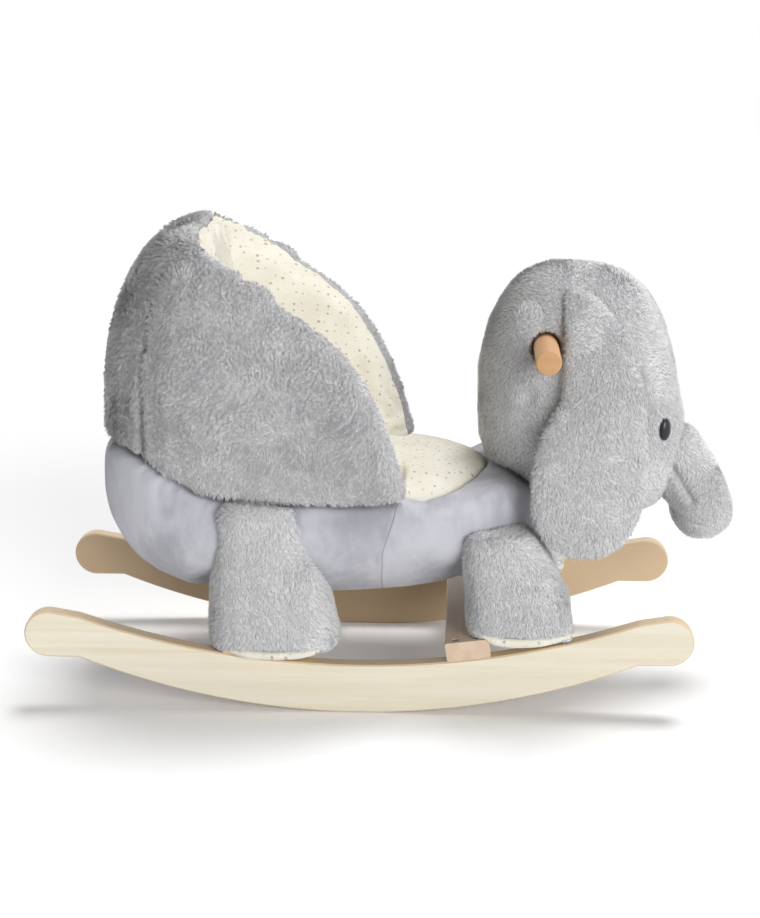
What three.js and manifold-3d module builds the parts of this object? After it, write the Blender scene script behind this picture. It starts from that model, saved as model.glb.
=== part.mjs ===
// Rocking elephant: a plush elephant seat on two plywood rockers.
// Millimetres. X runs to the trunk, Y to the elephant's left side, Z up from the floor.
// Sizes are set about the middle of the rockers; the finished toy is centred on its own box.
import * as THREE from 'three';
import Module from 'manifold-3d';
import { mergeVertices } from 'three/addons/utils/BufferGeometryUtils.js';

const wasm = await Module();
wasm.setup();

// Driving dimensions

const GAP = 0.3;
const OVERRUN = 6;
const MERGE_TOLERANCE = 1e-4;
const SIDES = [['right', -1], ['left', 1]];

const ROCKER = {
  length: 700,
  thickness: 18,
  span: 290,
  bottomRadius: 775,
  topRadius: 904,
  waist: 53,
  endRadius: 25,
  endHeight: 82,
  restFlat: 44,
  edge: 1.5,
};

const SLAT = { width: 46, thickness: 20, edge: 2.5, frontX: 117, rearX: -119 };

const SCREW = { radius: 2, headRadius: 4.2, headHeight: 2.8, tip: 4, sink: 0.8, length: 42, spread: 24 };

const BOLT = { radius: 3, headRadius: 6.5, headHeight: 4, tip: 3, sink: 1, length: 62 };

const POST = { radius: 11, spread: 192, frontX: 128, rearX: -121 };

const SEAT_BOARD = {
  thickness: 15,
  underside: 192,
  rear: -200,
  front: 180,
  width: 214,
  shoulderX: 139,
  noseWidth: 92,
  corner: 36,
};

const BACK_BOARD = { thickness: 12, width: 120, height: 222, corner: 18 };

const NECK_BOARD = { thickness: 12, spacing: 52, rear: 150, front: 182, headRadius: 28 };

const NECK_BLOCK = { rear: 153, front: 179, height: 42, screwSpread: 14 };

const HANDLE = { radius: 13, length: 290, x: 193, height: 378, chamfer: 2 };

// The stuffed belly is drawn as if it were whole: its top is cut by the skirt line and by the seat.
const BELLY = { rear: -280, length: 485, bottom: 107, height: 209, width: 288, roundness: 2.4 };

// The lower edge of the fur, and then the top of the belly beside the seat pad.
const SKIRT = { rear: -300, length: 520, bottom: 223, height: 45 };

const WELL = { back: -150, front: 46, halfWidth: 88, corner: 70 };

const HIP = {
  wingThickness: 60,
  backThickness: 128,
  crest: 504,
  cornerCrest: 438,
  tipCrest: 237,
  fullness: 2.15,
  cornerRise: 0.8,
  pocketWidth: 236,
  pocketRear: -206,
  seamAngle: 56,
};

const LINING = { thickness: 30, lipWidth: 2 };

const SEAT_PAD = {
  width: 236,
  crown: 257,
  rearCrown: 250,
  neckCrown: 248,
  frontCrown: 239,
  front: 134,
  edge: 213,
  sideRoundness: 3,
  crownRoundness: 2.6,
};

const HEAD = { rear: 123, length: 223, bottom: 186, height: 274, width: 196, roundness: 2.2 };

const TRUNK = {
  rootX: 333,
  rootHeight: 250,
  knuckle: 36,
  width: 70,
  bendX: 363,
  bendHeight: 215,
  tipX: 381,
  tipHeight: 152,
  tipRadius: 32,
  socketGap: 0.5,
};

const EAR = {
  bottom: 168,
  height: 272,
  length: 122,
  rear: 176,
  rootOut: 57,
  tipOut: 132,
  thickness: 25,
  roundness: 2.2,
};

const EYE = { radius: 9.5, dome: 5, height: 291, bearing: 40, stem: 2.5, stemLength: 16, inset: 1.2 };

const FRONT_LEG = { rear: 102, length: 126, bottom: 74, height: 124, inner: 72, depth: 82, roundness: 3 };

const REAR_LEG = { rear: -160, length: 142, bottom: 57, height: 182, inner: 70, depth: 89, roundness: 3 };

const SOLE = { thickness: 12 };

// Outlines as shares of the sizes above

// How far in from the middle of its round end the rocker's top edge begins.
const ROCKER_NECK_SHARE = 1.3;

// Along the belly from the rear: place, underside, top and half width.
const BELLY_SHARES = [
  [0, 0.62, 0.62, 0],
  [0.012, 0.45, 0.84, 0.43],
  [0.039, 0.3, 0.94, 0.67],
  [0.09, 0.15, 1, 0.83],
  [0.18, 0.035, 1, 0.95],
  [0.31, 0, 1, 1],
  [0.52, 0, 1, 1],
  [0.68, 0.035, 1, 0.985],
  [0.78, 0.07, 1, 0.94],
  [0.86, 0.082, 0.92, 0.83],
  [0.92, 0.095, 0.8, 0.67],
  [0.965, 0.125, 0.68, 0.46],
  [0.99, 0.2, 0.56, 0.24],
  [1, 0.37, 0.37, 0],
];

// Along the skirt line from behind the belly: place and height.
const SKIRT_SHARES = [
  [0, 1.2],
  [0.06, 1.16],
  [0.137, 1.02],
  [0.2, 0.64],
  [0.267, 0.29],
  [0.385, 0.12],
  [0.54, 0.09],
  [0.623, 0.14],
  [0.658, 0.18],
  [0.695, 0.06],
  [0.75, 0.09],
  [0.798, 0.2],
  [0.829, 0.36],
  [0.856, 0.46],
  [0.894, 0.4],
  [0.93, 0.1],
  [1, -0.6],
];

// The wing's edge, from its upper end at the corner to the seat: place and height.
const WING_EDGE_SHARES = [
  [0, 1],
  [0.19, 0.93],
  [0.47, 0.78],
  [0.58, 0.685],
  [0.7, 0.565],
  [0.79, 0.445],
  [0.87, 0.31],
  [0.94, 0.15],
  [1, 0],
];

// Up the head: height, back of the head, face and half width.
const HEAD_SHARES = [
  [0, 0.6, 0.6, 0],
  [0.012, 0.32, 0.84, 0.36],
  [0.05, 0.22, 0.895, 0.58],
  [0.113, 0.14, 0.94, 0.75],
  [0.23, 0.03, 0.985, 0.9],
  [0.376, 0.004, 1, 0.98],
  [0.475, 0, 0.977, 1],
  [0.6, 0.006, 0.945, 0.97],
  [0.723, 0.036, 0.905, 0.86],
  [0.828, 0.09, 0.847, 0.71],
  [0.912, 0.157, 0.767, 0.53],
  [0.97, 0.247, 0.646, 0.33],
  [1, 0.42, 0.42, 0],
];

// Up the ear: height, rear edge, front edge, way out from the root to the tip, and half thickness.
const EAR_SHARES = [
  [0, 0.47, 0.47, 1, 0],
  [0.018, 0.27, 0.66, 1, 0.55],
  [0.062, 0.13, 0.83, 0.99, 0.85],
  [0.134, 0.03, 0.92, 0.975, 1],
  [0.22, 0, 0.98, 0.94, 1],
  [0.355, 0.02, 1, 0.855, 1],
  [0.47, 0.09, 0.995, 0.795, 1],
  [0.543, 0.18, 0.985, 0.755, 1],
  [0.595, 0.253, 0.97, 0.715, 0.97],
  [0.66, 0.266, 0.945, 0.65, 0.9],
  [0.76, 0.266, 0.89, 0.5, 0.76],
  [0.85, 0.264, 0.8, 0.33, 0.6],
  [0.93, 0.264, 0.67, 0.12, 0.42],
  [0.985, 0.277, 0.5, 0, 0.3],
  [1, 0.37, 0.37, 0, 0],
];

// Where the trunk's round tip begins along its length.
const TRUNK_TIP_SHARE = 0.72;

// Up a leg: height, rear edge, front edge, middle of the depth and half depth.
const FRONT_LEG_SHARES = [
  [0, 0.53, 0.53, 0.5, 0],
  [0.014, 0.2, 0.86, 0.5, 0.8],
  [0.04, 0.12, 0.98, 0.5, 0.92],
  [0.08, 0.1, 1.04, 0.5, 0.97],
  [0.145, 0.095, 1.055, 0.5, 1],
  [0.21, 0.09, 1.035, 0.5, 1],
  [0.34, 0.088, 0.985, 0.5, 1],
  [0.48, 0.08, 0.905, 0.5, 1],
  [0.585, 0.07, 0.855, 0.5, 0.98],
  [0.677, 0.06, 0.81, 0.5, 0.97],
  [0.79, 0.05, 0.75, 0.5, 0.96],
  [0.915, 0.05, 0.67, 0.5, 0.94],
  [0.976, 0.07, 0.58, 0.5, 0.84],
  [1, 0.31, 0.31, 0.5, 0],
];

const REAR_LEG_SHARES = [
  [0, 0.52, 0.52, 0.5, 0],
  [0.014, 0.2, 0.84, 0.5, 0.8],
  [0.04, 0.09, 0.93, 0.5, 0.93],
  [0.082, 0.03, 0.98, 0.5, 0.98],
  [0.148, 0.012, 0.985, 0.5, 1],
  [0.266, 0.025, 0.953, 0.5, 1],
  [0.434, 0.036, 0.89, 0.5, 1],
  [0.61, 0.05, 0.837, 0.5, 1],
  [0.73, 0.065, 0.785, 0.505, 0.99],
  [0.824, 0.08, 0.745, 0.52, 0.98],
  [0.96, 0.1, 0.72, 0.53, 0.96],
  [1, 0.4, 0.4, 0.5, 0],
];

// Across the hip: the crest of a wing and of the back, the foot, and the height of the widest place.
const WING_CREST_SHARE = 0.75;
const BACK_CREST_SHARE = 0.1;
const HIP_FOOT_SHARE = 0.97;
const BULGE_SHARE = 0.3;

// From the back of the seat pad to where its sides run straight.
const PAD_CORNER_SHARES = [0, 0.08, 0.25, 0.55, 1];

// The seat pad's tongue in front of the wings: place and half width.
const TONGUE_SHARES = [
  [0, 1],
  [0.3, 0.96],
  [0.55, 0.84],
  [0.74, 0.68],
  [0.88, 0.48],
  [0.97, 0.24],
  [1, 0.08],
];

const COLOURS = {
  birch: { color: 0xf1e8ce, roughness: 0.6 },
  beech: { color: 0xe3c39a, roughness: 0.55 },
  handle: { color: 0xd9a068, roughness: 0.5 },
  steel: { color: 0x8d8f92, roughness: 0.4, metalness: 0.9 },
  fur: { color: 0xaeaeb2, roughness: 1 },
  velour: { color: 0xb9bacb, roughness: 0.9 },
  cotton: { color: 0xf1eddc, roughness: 0.95 },
  eye: { color: 0x2a2a30, roughness: 0.3 },
};

// Solids and meshes

const dressed = (geometry) => {
  geometry.deleteAttribute('normal');
  geometry.deleteAttribute('uv');
  return mergeVertices(geometry, MERGE_TOLERANCE);
};

const solid = (geometry) => {
  const merged = dressed(geometry);
  const corners = merged.index.array;
  const triangles = [];
  for (let i = 0; i < corners.length; i += 3) {
    const [a, b, c] = [corners[i], corners[i + 1], corners[i + 2]];
    if (a !== b && b !== c && c !== a) {
      triangles.push(a, b, c);
    }
  }
  return new wasm.Manifold(new wasm.Mesh({
    numProp: 3,
    vertProperties: new Float32Array(merged.attributes.position.array),
    triVerts: new Uint32Array(triangles),
  }));
};

const geometryOf = (body) => {
  const mesh = body.getMesh();
  const geometry = new THREE.BufferGeometry();
  geometry.setAttribute('position', new THREE.BufferAttribute(mesh.vertProperties, 3));
  geometry.setIndex(new THREE.BufferAttribute(mesh.triVerts, 1));
  const faceted = geometry.toNonIndexed();
  faceted.computeVertexNormals();
  return faceted;
};

const cut = (body, ...tools) => tools.reduce((rest, tool) => rest.subtract(tool), body);

const largest = (body) => body.decompose().reduce((most, piece) => (
  piece.volume() > most.volume() ? piece : most
));

const named = (name, shape, look) => {
  const geometry = shape.isBufferGeometry ? shape : geometryOf(shape);
  const mesh = new THREE.Mesh(geometry, new THREE.MeshStandardMaterial(COLOURS[look]));
  mesh.name = name;
  return mesh;
};

const groupOf = (...members) => {
  const group = new THREE.Group();
  group.add(...members);
  return group;
};

const flatPoints = (pairs) => pairs.map(([u, v]) => new THREE.Vector2(u, v));

const shapeOf = (outline) => (
  outline instanceof THREE.Shape ? outline : new THREE.Shape(flatPoints(outline))
);

// A closed outline of [x, z] points drawn out along Y between two places.
const slabAlongY = (outline, low, high, { edge = 0, steps = 4 } = {}) => {
  const geometry = new THREE.ExtrudeGeometry(shapeOf(outline), {
    depth: high - low - 2 * edge,
    bevelEnabled: edge > 0,
    bevelThickness: edge,
    bevelSize: edge,
    bevelOffset: -edge,
    bevelSegments: 1,
    curveSegments: steps,
  });
  geometry.rotateX(Math.PI / 2);
  geometry.translate(0, high - edge, 0);
  return geometry;
};

// A closed outline of [x, y] points drawn up between two heights.
const slabUp = (outline, low, high) => {
  const options = { depth: high - low, bevelEnabled: false, curveSegments: 6 };
  const geometry = new THREE.ExtrudeGeometry(shapeOf(outline), options);
  geometry.translate(0, 0, low);
  return geometry;
};

const blockBetween = (low, high) => {
  const size = high.map((value, i) => value - low[i]);
  const geometry = new THREE.BoxGeometry(...size);
  geometry.translate(...high.map((value, i) => (value + low[i]) / 2));
  return geometry;
};

const roundedRectangle = (low, high, radius) => {
  const shape = new THREE.Shape();
  const quarter = Math.PI / 2;
  const centres = [[high, high], [low, high], [low, low], [high, low]];
  centres.forEach(([farX, farY], turn) => {
    const x = farX[0] + (farX === high ? -radius : radius);
    const y = farY[1] + (farY === high ? -radius : radius);
    shape.absarc(x, y, radius, turn * quarter, (turn + 1) * quarter, false);
  });
  return shape;
};

const rodAlongY = (radius, length, chamfer, x, z) => {
  const half = length / 2;
  const profile = [[0, -half], [radius - chamfer, -half], [radius, chamfer - half]];
  const mirrored = profile.map(([r, y]) => [r, -y]).reverse();
  const geometry = new THREE.LatheGeometry(flatPoints([...profile, ...mirrored]), 20);
  geometry.translate(x, 0, z);
  return geometry;
};

const postUp = (radius, low, high, x, y) => {
  const geometry = new THREE.CylinderGeometry(radius, radius, high - low, 14);
  geometry.rotateX(Math.PI / 2);
  geometry.translate(x, y, (low + high) / 2);
  return geometry;
};

// A countersunk screw that points down from the origin. With a clearance it is the hole for one.
const screwShape = ({ radius, headRadius, headHeight, tip, sink, length }, clearance = 0) => {
  const mouth = sink + OVERRUN + clearance;
  const openMouth = [[headRadius + clearance, mouth], [0, mouth]];
  const points = [
    [0, -length - clearance],
    [radius + clearance, tip - length],
    [radius + clearance, -headHeight - clearance],
    [headRadius + clearance, -clearance],
    ...(clearance > 0 ? openMouth : [[0, 0]]),
  ];
  const geometry = new THREE.LatheGeometry(flatPoints(points), 8);
  geometry.rotateX(Math.PI / 2);
  return geometry;
};

// Each screw has a place and a turn, and the same two make its hole. Its direction is a unit vector.
const screwAt = (kind, position, direction) => {
  const turn = new THREE.Quaternion().setFromUnitVectors(new THREE.Vector3(0, 0, -1), direction);
  const place = position.clone().addScaledVector(direction, kind.sink);
  const matrix = new THREE.Matrix4().compose(place, turn, new THREE.Vector3(1, 1, 1));
  return { kind, place, turn, hole: solid(screwShape(kind, GAP).applyMatrix4(matrix)) };
};

const screwMesh = (name, screw) => {
  const mesh = named(name, screwShape(screw.kind), 'steel');
  mesh.position.copy(screw.place);
  mesh.quaternion.copy(screw.turn);
  return mesh;
};

// Stuffed forms

// A smooth run of rows: each column follows its own uniform spline.
const smoothRows = (rows, count) => {
  const columns = rows[0].map((_, c) => new THREE.SplineCurve(flatPoints(rows.map((row) => [row[c], 0]))));
  return Array.from({ length: count + 1 }, (_, i) => columns.map((column) => column.getPoint(i / count).x));
};

const power = (value, exponent) => Math.sign(value) * Math.abs(value) ** exponent;

// Rings joined into a closed skin, with a point at each end.
const skinOf = (rings, firstPole, lastPole) => {
  const sides = rings[0].length;
  const positions = [...rings.flat(), firstPole, lastPole].flat();
  const first = rings.length * sides;
  const faces = [];
  for (let s = 0; s < sides; s += 1) {
    const next = (s + 1) % sides;
    faces.push(first, next, s);
    for (let r = 0; r + 1 < rings.length; r += 1) {
      const [a, b] = [r * sides + s, r * sides + next];
      faces.push(a, b, b + sides, a, b + sides, a + sides);
    }
    const top = (rings.length - 1) * sides;
    faces.push(first + 1, top + s, top + next);
  }
  const geometry = new THREE.BufferGeometry();
  geometry.setAttribute('position', new THREE.Float32BufferAttribute(positions, 3));
  geometry.setIndex(faces);
  return geometry;
};

// A stuffed form along X or Z. Rows hold place, low edge, high edge, side way out and half width.
const stuffed = (rows, { along, count, sides, roundness, grow = 0 }) => {
  const smooth = smoothRows(rows, count);
  const point = (place, across, side) => (along === 'x' ? [place, side, across] : [across, side, place]);
  const turn = along === 'x' ? 1 : -1;
  const ringAt = ([place, low, high, out, half], shift) => Array.from({ length: sides }, (_, s) => {
    const angle = turn * 2 * Math.PI * s / sides;
    const across = (low + high) / 2 + ((high - low) / 2 + grow) * power(Math.sin(angle), 2 / roundness);
    return point(place + shift, across, out + (half + grow) * power(Math.cos(angle), 2 / roundness));
  });
  const inner = smooth.slice(1, -1);
  const rings = inner.map((row, i) => ringAt(row, grow * (2 * i / (inner.length - 1) - 1)));
  const [first, last] = [smooth[0], smooth[smooth.length - 1]];
  const firstPole = point(first[0] - grow, first[1], first[3]);
  const lastPole = point(last[0] + grow, last[1], last[3]);
  return solid(skinOf(rings, firstPole, lastPole));
};

// The triangles that close a flat upright section, turned the way its points run.
const capOf = (section) => {
  const [startX, startY] = section[0];
  const wayTo = ([x, y]) => Math.hypot(x - startX, y - startY);
  const [farX, farY] = section.reduce((far, corner) => (wayTo(corner) > wayTo(far) ? corner : far));
  const across = new THREE.Vector2(farX - startX, farY - startY).normalize();
  const wayAcross = ([x, y]) => (x - startX) * across.x + (y - startY) * across.y;
  const flat = flatPoints(section.map((corner) => [wayAcross(corner), corner[2]]));
  const turn = Math.sign(THREE.ShapeUtils.area(flat));
  return THREE.ShapeUtils.triangulateShape(flat, []).map(([a, b, c]) => {
    const turned = Math.sign(THREE.ShapeUtils.area([flat[a], flat[b], flat[c]]));
    return turned === turn ? [a, b, c] : [a, c, b];
  });
};

// A run of closed flat sections, all of one point count, with a flat cap at each end.
// Two runs that lie against each other split their shared faces alike where one of them leans back.
const lofted = (sections, leanBack = false) => {
  const count = sections[0].length;
  const faces = [];
  for (let r = 0; r + 1 < sections.length; r += 1) {
    for (let s = 0; s < count; s += 1) {
      const next = (s + 1) % count;
      const [a, b] = [r * count + s, r * count + next];
      if (leanBack) {
        faces.push(a, a + count, b, b, a + count, b + count);
      } else {
        faces.push(a, b + count, b, a, a + count, b + count);
      }
    }
  }
  const lastRow = (sections.length - 1) * count;
  capOf(sections[0]).forEach(([a, b, c]) => faces.push(a, b, c));
  capOf(sections.at(-1)).forEach(([a, b, c]) => faces.push(lastRow + a, lastRow + c, lastRow + b));
  const geometry = new THREE.BufferGeometry();
  geometry.setAttribute('position', new THREE.Float32BufferAttribute(sections.flat(2), 3));
  geometry.setIndex(faces);
  return geometry;
};

// Base: rockers, slats and their screws

const rockerTop = ROCKER.waist + ROCKER.topRadius;
const rockerBottom = Math.sqrt(ROCKER.bottomRadius ** 2 - (ROCKER.restFlat / 2) ** 2);
const rockerEnd = ROCKER.length / 2 - ROCKER.endRadius;
const rockerMiddle = (ROCKER.span - ROCKER.thickness) / 2;

const rockerTopAt = (x) => rockerTop - Math.sqrt(ROCKER.topRadius ** 2 - x ** 2);

const rockerOutline = () => {
  const quarter = Math.PI / 2;
  const flat = Math.asin(ROCKER.restFlat / 2 / ROCKER.bottomRadius);
  const toe = Math.acos((rockerBottom - ROCKER.endHeight + ROCKER.endRadius) / ROCKER.bottomRadius);
  const neck = Math.asin((rockerEnd - ROCKER_NECK_SHARE * ROCKER.endRadius) / ROCKER.topRadius);
  const lean = neck / 2;
  const shape = new THREE.Shape();
  shape.absarc(0, rockerBottom, ROCKER.bottomRadius, flat - quarter, toe - quarter, false);
  shape.absarc(rockerEnd, ROCKER.endHeight, ROCKER.endRadius, -quarter, quarter + lean, false);
  shape.absarc(0, rockerTop, ROCKER.topRadius, neck - quarter, -neck - quarter, true);
  shape.absarc(-rockerEnd, ROCKER.endHeight, ROCKER.endRadius, quarter - lean, 3 * quarter, false);
  shape.absarc(0, rockerBottom, ROCKER.bottomRadius, -toe - quarter, -flat - quarter, false);
  return shape;
};

const rockerSolid = (side, grow = 0) => {
  const middle = side * rockerMiddle;
  const half = ROCKER.thickness / 2 + grow;
  const geometry = slabAlongY(rockerOutline(), middle - half, middle + half, {
    edge: grow > 0 ? 0 : ROCKER.edge,
    steps: 12,
  });
  geometry.translate(0, 0, grow);
  return solid(geometry);
};

// The slat lies on the rockers' curved top edge, so it leans with that edge.
const slatLift = ROCKER.topRadius - Math.sqrt(ROCKER.topRadius ** 2 - (SLAT.width / 2) ** 2) + GAP;

const slatPlace = (x) => {
  const lean = Math.asin(x / ROCKER.topRadius);
  const matrix = new THREE.Matrix4().makeRotationY(-lean);
  matrix.setPosition(x - slatLift * Math.sin(lean), 0, rockerTopAt(x) + slatLift * Math.cos(lean));
  return { lean, matrix, up: new THREE.Vector3(-Math.sin(lean), 0, Math.cos(lean)) };
};

const slatBlank = (x, grow = 0) => {
  const half = SLAT.width / 2 + grow;
  const outline = roundedRectangle([-half, -grow], [half, SLAT.thickness + grow], SLAT.edge);
  const side = ROCKER.span / 2 + grow;
  return solid(slabAlongY(outline, -side, side).applyMatrix4(slatPlace(x).matrix));
};

const slatScrews = (x) => {
  const { matrix, up } = slatPlace(x);
  return SIDES.flatMap(([sideName, side]) => [['rear', -1], ['front', 1]].map(([endName, end]) => {
    const place = new THREE.Vector3(end * SCREW.spread / 2, side * rockerMiddle, SLAT.thickness);
    const screw = screwAt(SCREW, place.applyMatrix4(matrix), up.clone().negate());
    return { name: `${sideName}_${endName}`, screw };
  }));
};

// The height of the slat's upper or lower face, straight above or below a place on the floor.
const slatHeight = (slatX, x, depth) => {
  const { lean } = slatPlace(slatX);
  return rockerTopAt(slatX) + (slatLift + depth) / Math.cos(lean) + (x - slatX) * Math.tan(lean);
};

const ENDS = [
  { end: 'front', slatX: SLAT.frontX, postX: POST.frontX },
  { end: 'rear', slatX: SLAT.rearX, postX: POST.rearX },
];

const corners = ENDS.flatMap((place) => SIDES.map(([sideName, side]) => ({
  ...place,
  sideName,
  side,
  y: side * POST.spread / 2,
})));

const down = new THREE.Vector3(0, 0, -1);
const up = new THREE.Vector3(0, 0, 1);
const seatTop = SEAT_BOARD.underside + SEAT_BOARD.thickness;

const legBolts = corners.map(({ slatX, postX, y }) => {
  const face = slatHeight(slatX, postX, 0) + BOLT.headRadius * Math.tan(Math.abs(slatPlace(slatX).lean));
  return screwAt(BOLT, new THREE.Vector3(postX, y, face), up);
});

const seatScrews = corners.map(({ postX, y }) => screwAt(SCREW, new THREE.Vector3(postX, y, seatTop), down));

const allSlatScrews = ENDS.map(({ slatX }) => slatScrews(slatX));

const rockers = SIDES.map(([sideName, side]) => {
  const holes = allSlatScrews.flat().map(({ screw }) => screw.hole);
  return named(`rocker_${sideName}`, cut(rockerSolid(side), ...holes), 'birch');
});

const slats = ENDS.map(({ end, slatX }, i) => {
  const holes = [...allSlatScrews[i].map(({ screw }) => screw.hole), ...legBolts.map(({ hole }) => hole)];
  return named(`${end}_slat`, cut(slatBlank(slatX), ...holes), 'beech');
});

const slatScrewMeshes = ENDS.flatMap(({ end }, i) => allSlatScrews[i].map(({ name, screw }) => (
  screwMesh(`${end}_slat_screw_${name}`, screw)
)));

// Frame inside the plush: posts, seat board, back board, neck and handle

const postSolid = ({ slatX, postX, y }, grow = 0) => {
  const rims = [postX - POST.radius, postX + POST.radius];
  const low = Math.min(...rims.map((x) => slatHeight(slatX, x, SLAT.thickness)));
  const blank = solid(postUp(POST.radius + grow, low, SEAT_BOARD.underside - GAP + 2 * grow, postX, y));
  return cut(blank, slatBlank(slatX, GAP - grow));
};

const posts = corners.map((corner, i) => named(
  `${corner.end}_leg_post_${corner.sideName}`,
  cut(postSolid(corner), legBolts[i].hole, seatScrews[i].hole),
  'beech',
));

const seatOutline = (grow = 0) => {
  const half = SEAT_BOARD.width / 2 + grow;
  const nose = SEAT_BOARD.noseWidth / 2 + grow;
  const { corner } = SEAT_BOARD;
  const shape = new THREE.Shape();
  const quarter = Math.PI / 2;
  shape.absarc(SEAT_BOARD.rear - grow + corner, corner - half, corner, 2 * quarter, 3 * quarter, false);
  shape.lineTo(SEAT_BOARD.shoulderX, -half);
  shape.lineTo(SEAT_BOARD.front + grow, -nose);
  shape.lineTo(SEAT_BOARD.front + grow, nose);
  shape.lineTo(SEAT_BOARD.shoulderX, half);
  shape.absarc(SEAT_BOARD.rear - grow + corner, half - corner, corner, quarter, 2 * quarter, false);
  return shape;
};

const seatBoardSolid = (grow = 0) => solid(
  slabUp(seatOutline(grow), SEAT_BOARD.underside - grow, seatTop + grow),
);

const backBoardFront = WELL.back - LINING.thickness - GAP;
const backBoardFoot = seatTop + GAP;

const backBoardSolid = (grow = 0) => {
  const half = BACK_BOARD.width / 2 + grow;
  const outline = roundedRectangle(
    [-half, backBoardFoot - grow],
    [half, backBoardFoot + BACK_BOARD.height + grow],
    BACK_BOARD.corner,
  );
  const geometry = new THREE.ExtrudeGeometry(outline, {
    depth: BACK_BOARD.thickness + 2 * grow,
    bevelEnabled: false,
    curveSegments: 5,
  });
  geometry.rotateX(Math.PI / 2);
  geometry.rotateZ(Math.PI / 2);
  geometry.translate(backBoardFront - BACK_BOARD.thickness - grow, 0, 0);
  return solid(geometry);
};

const screwUnderSeat = (x, y) => screwAt(SCREW, new THREE.Vector3(x, y, SEAT_BOARD.underside), up);

const backScrews = SIDES.map(([, side]) => (
  screwUnderSeat(backBoardFront - BACK_BOARD.thickness / 2, side * BACK_BOARD.width / 3)
));

const neckScrews = [-1, 1].map((end) => (
  screwUnderSeat((NECK_BLOCK.rear + NECK_BLOCK.front + end * NECK_BLOCK.screwSpread) / 2, 0)
));

const neckMiddle = NECK_BOARD.spacing / 2;

const neckBoardSolid = (side, grow = 0) => {
  const foot = seatTop + GAP - grow;
  const half = NECK_BOARD.thickness / 2 + grow;
  const outline = new THREE.Shape();
  outline.moveTo(NECK_BOARD.rear - grow, foot);
  outline.lineTo(NECK_BOARD.front + grow, foot);
  outline.absarc(HANDLE.x, HANDLE.height, NECK_BOARD.headRadius + grow, 0, Math.PI, false);
  return solid(slabAlongY(outline, side * neckMiddle - half, side * neckMiddle + half, { steps: 10 }));
};

const neckBlockSolid = (grow = 0) => {
  const half = neckMiddle - NECK_BOARD.thickness / 2 - GAP + grow;
  const foot = seatTop + GAP;
  return solid(blockBetween(
    [NECK_BLOCK.rear - grow, -half, foot - grow],
    [NECK_BLOCK.front + grow, half, foot + NECK_BLOCK.height + grow],
  ));
};

const handleSolid = (grow = 0) => solid(
  rodAlongY(HANDLE.radius + grow, HANDLE.length + 2 * grow, HANDLE.chamfer, HANDLE.x, HANDLE.height),
);

const handleScrews = SIDES.map(([, side]) => screwAt(
  SCREW,
  new THREE.Vector3(HANDLE.x + NECK_BOARD.headRadius, side * neckMiddle, HANDLE.height),
  new THREE.Vector3(-1, 0, 0),
));

const seatBoard = named('seat_board', cut(
  seatBoardSolid(),
  ...[...seatScrews, ...backScrews, ...neckScrews].map(({ hole }) => hole),
), 'birch');

const backBoard = named('back_board', cut(backBoardSolid(), ...backScrews.map(({ hole }) => hole)), 'birch');

const neckBoards = SIDES.map(([sideName, side], i) => named(
  `neck_board_${sideName}`,
  cut(neckBoardSolid(side), handleSolid(GAP), handleScrews[i].hole),
  'birch',
));

const neckBlock = named('neck_block', cut(neckBlockSolid(), ...neckScrews.map(({ hole }) => hole)), 'beech');

const handle = named('handle_dowel', cut(handleSolid(), ...handleScrews.map(({ hole }) => hole)), 'handle');

const frameScrews = [
  ...corners.map(({ end, sideName }, i) => screwMesh(`${end}_leg_bolt_${sideName}`, legBolts[i])),
  ...corners.map(({ end, sideName }, i) => screwMesh(`${end}_seat_screw_${sideName}`, seatScrews[i])),
  ...SIDES.map(([sideName], i) => screwMesh(`back_screw_${sideName}`, backScrews[i])),
  ...['rear', 'front'].map((end, i) => screwMesh(`neck_screw_${end}`, neckScrews[i])),
  ...SIDES.map(([sideName], i) => screwMesh(`handle_screw_${sideName}`, handleScrews[i])),
];

// Belly, hip shell, lining and seat pad

const skirtLine = (shift) => smoothRows(SKIRT_SHARES, 24).map(([place, height]) => (
  [SKIRT.rear + SKIRT.length * place, SKIRT.bottom + SKIRT.height * height + shift]
));

const reach = HIP.crest;

const belowSkirt = (shift) => {
  const line = skirtLine(shift);
  const [start, end] = [line[0][0], line[line.length - 1][0]];
  return solid(slabAlongY([[start, 0], [end, 0], ...line.reverse()], -reach, reach));
};

const bellyBlank = (grow = 0) => stuffed(
  BELLY_SHARES.map(([place, low, high, half]) => [
    BELLY.rear + BELLY.length * place,
    BELLY.bottom + BELLY.height * low,
    BELLY.bottom + BELLY.height * high,
    0,
    BELLY.width / 2 * half,
  ]),
  { along: 'x', count: 22, sides: 26, roundness: BELLY.roundness, grow },
);

const hipPocket = (grow = 0) => solid(blockBetween(
  [HIP.pocketRear - grow, -HIP.pocketWidth / 2 - grow, seatTop - grow],
  [WELL.front + grow, HIP.pocketWidth / 2 + grow, HIP.crest + OVERRUN],
));

// A place on the way round the well: along the wing, round the corner and across the back.
const wingStraight = WELL.back + WELL.corner;

const wingEdge = (x) => {
  const rows = smoothRows(WING_EDGE_SHARES, 60);
  const share = (x - wingStraight) / (WELL.front - wingStraight);
  const after = rows.findIndex(([place]) => place >= share);
  const [a, b] = [rows[Math.max(after - 1, 0)], rows[Math.max(after, 0)]];
  const part = b[0] > a[0] ? (share - a[0]) / (b[0] - a[0]) : 0;
  return HIP.tipCrest + (HIP.cornerCrest - HIP.tipCrest) * (a[1] + (b[1] - a[1]) * part);
};

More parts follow.
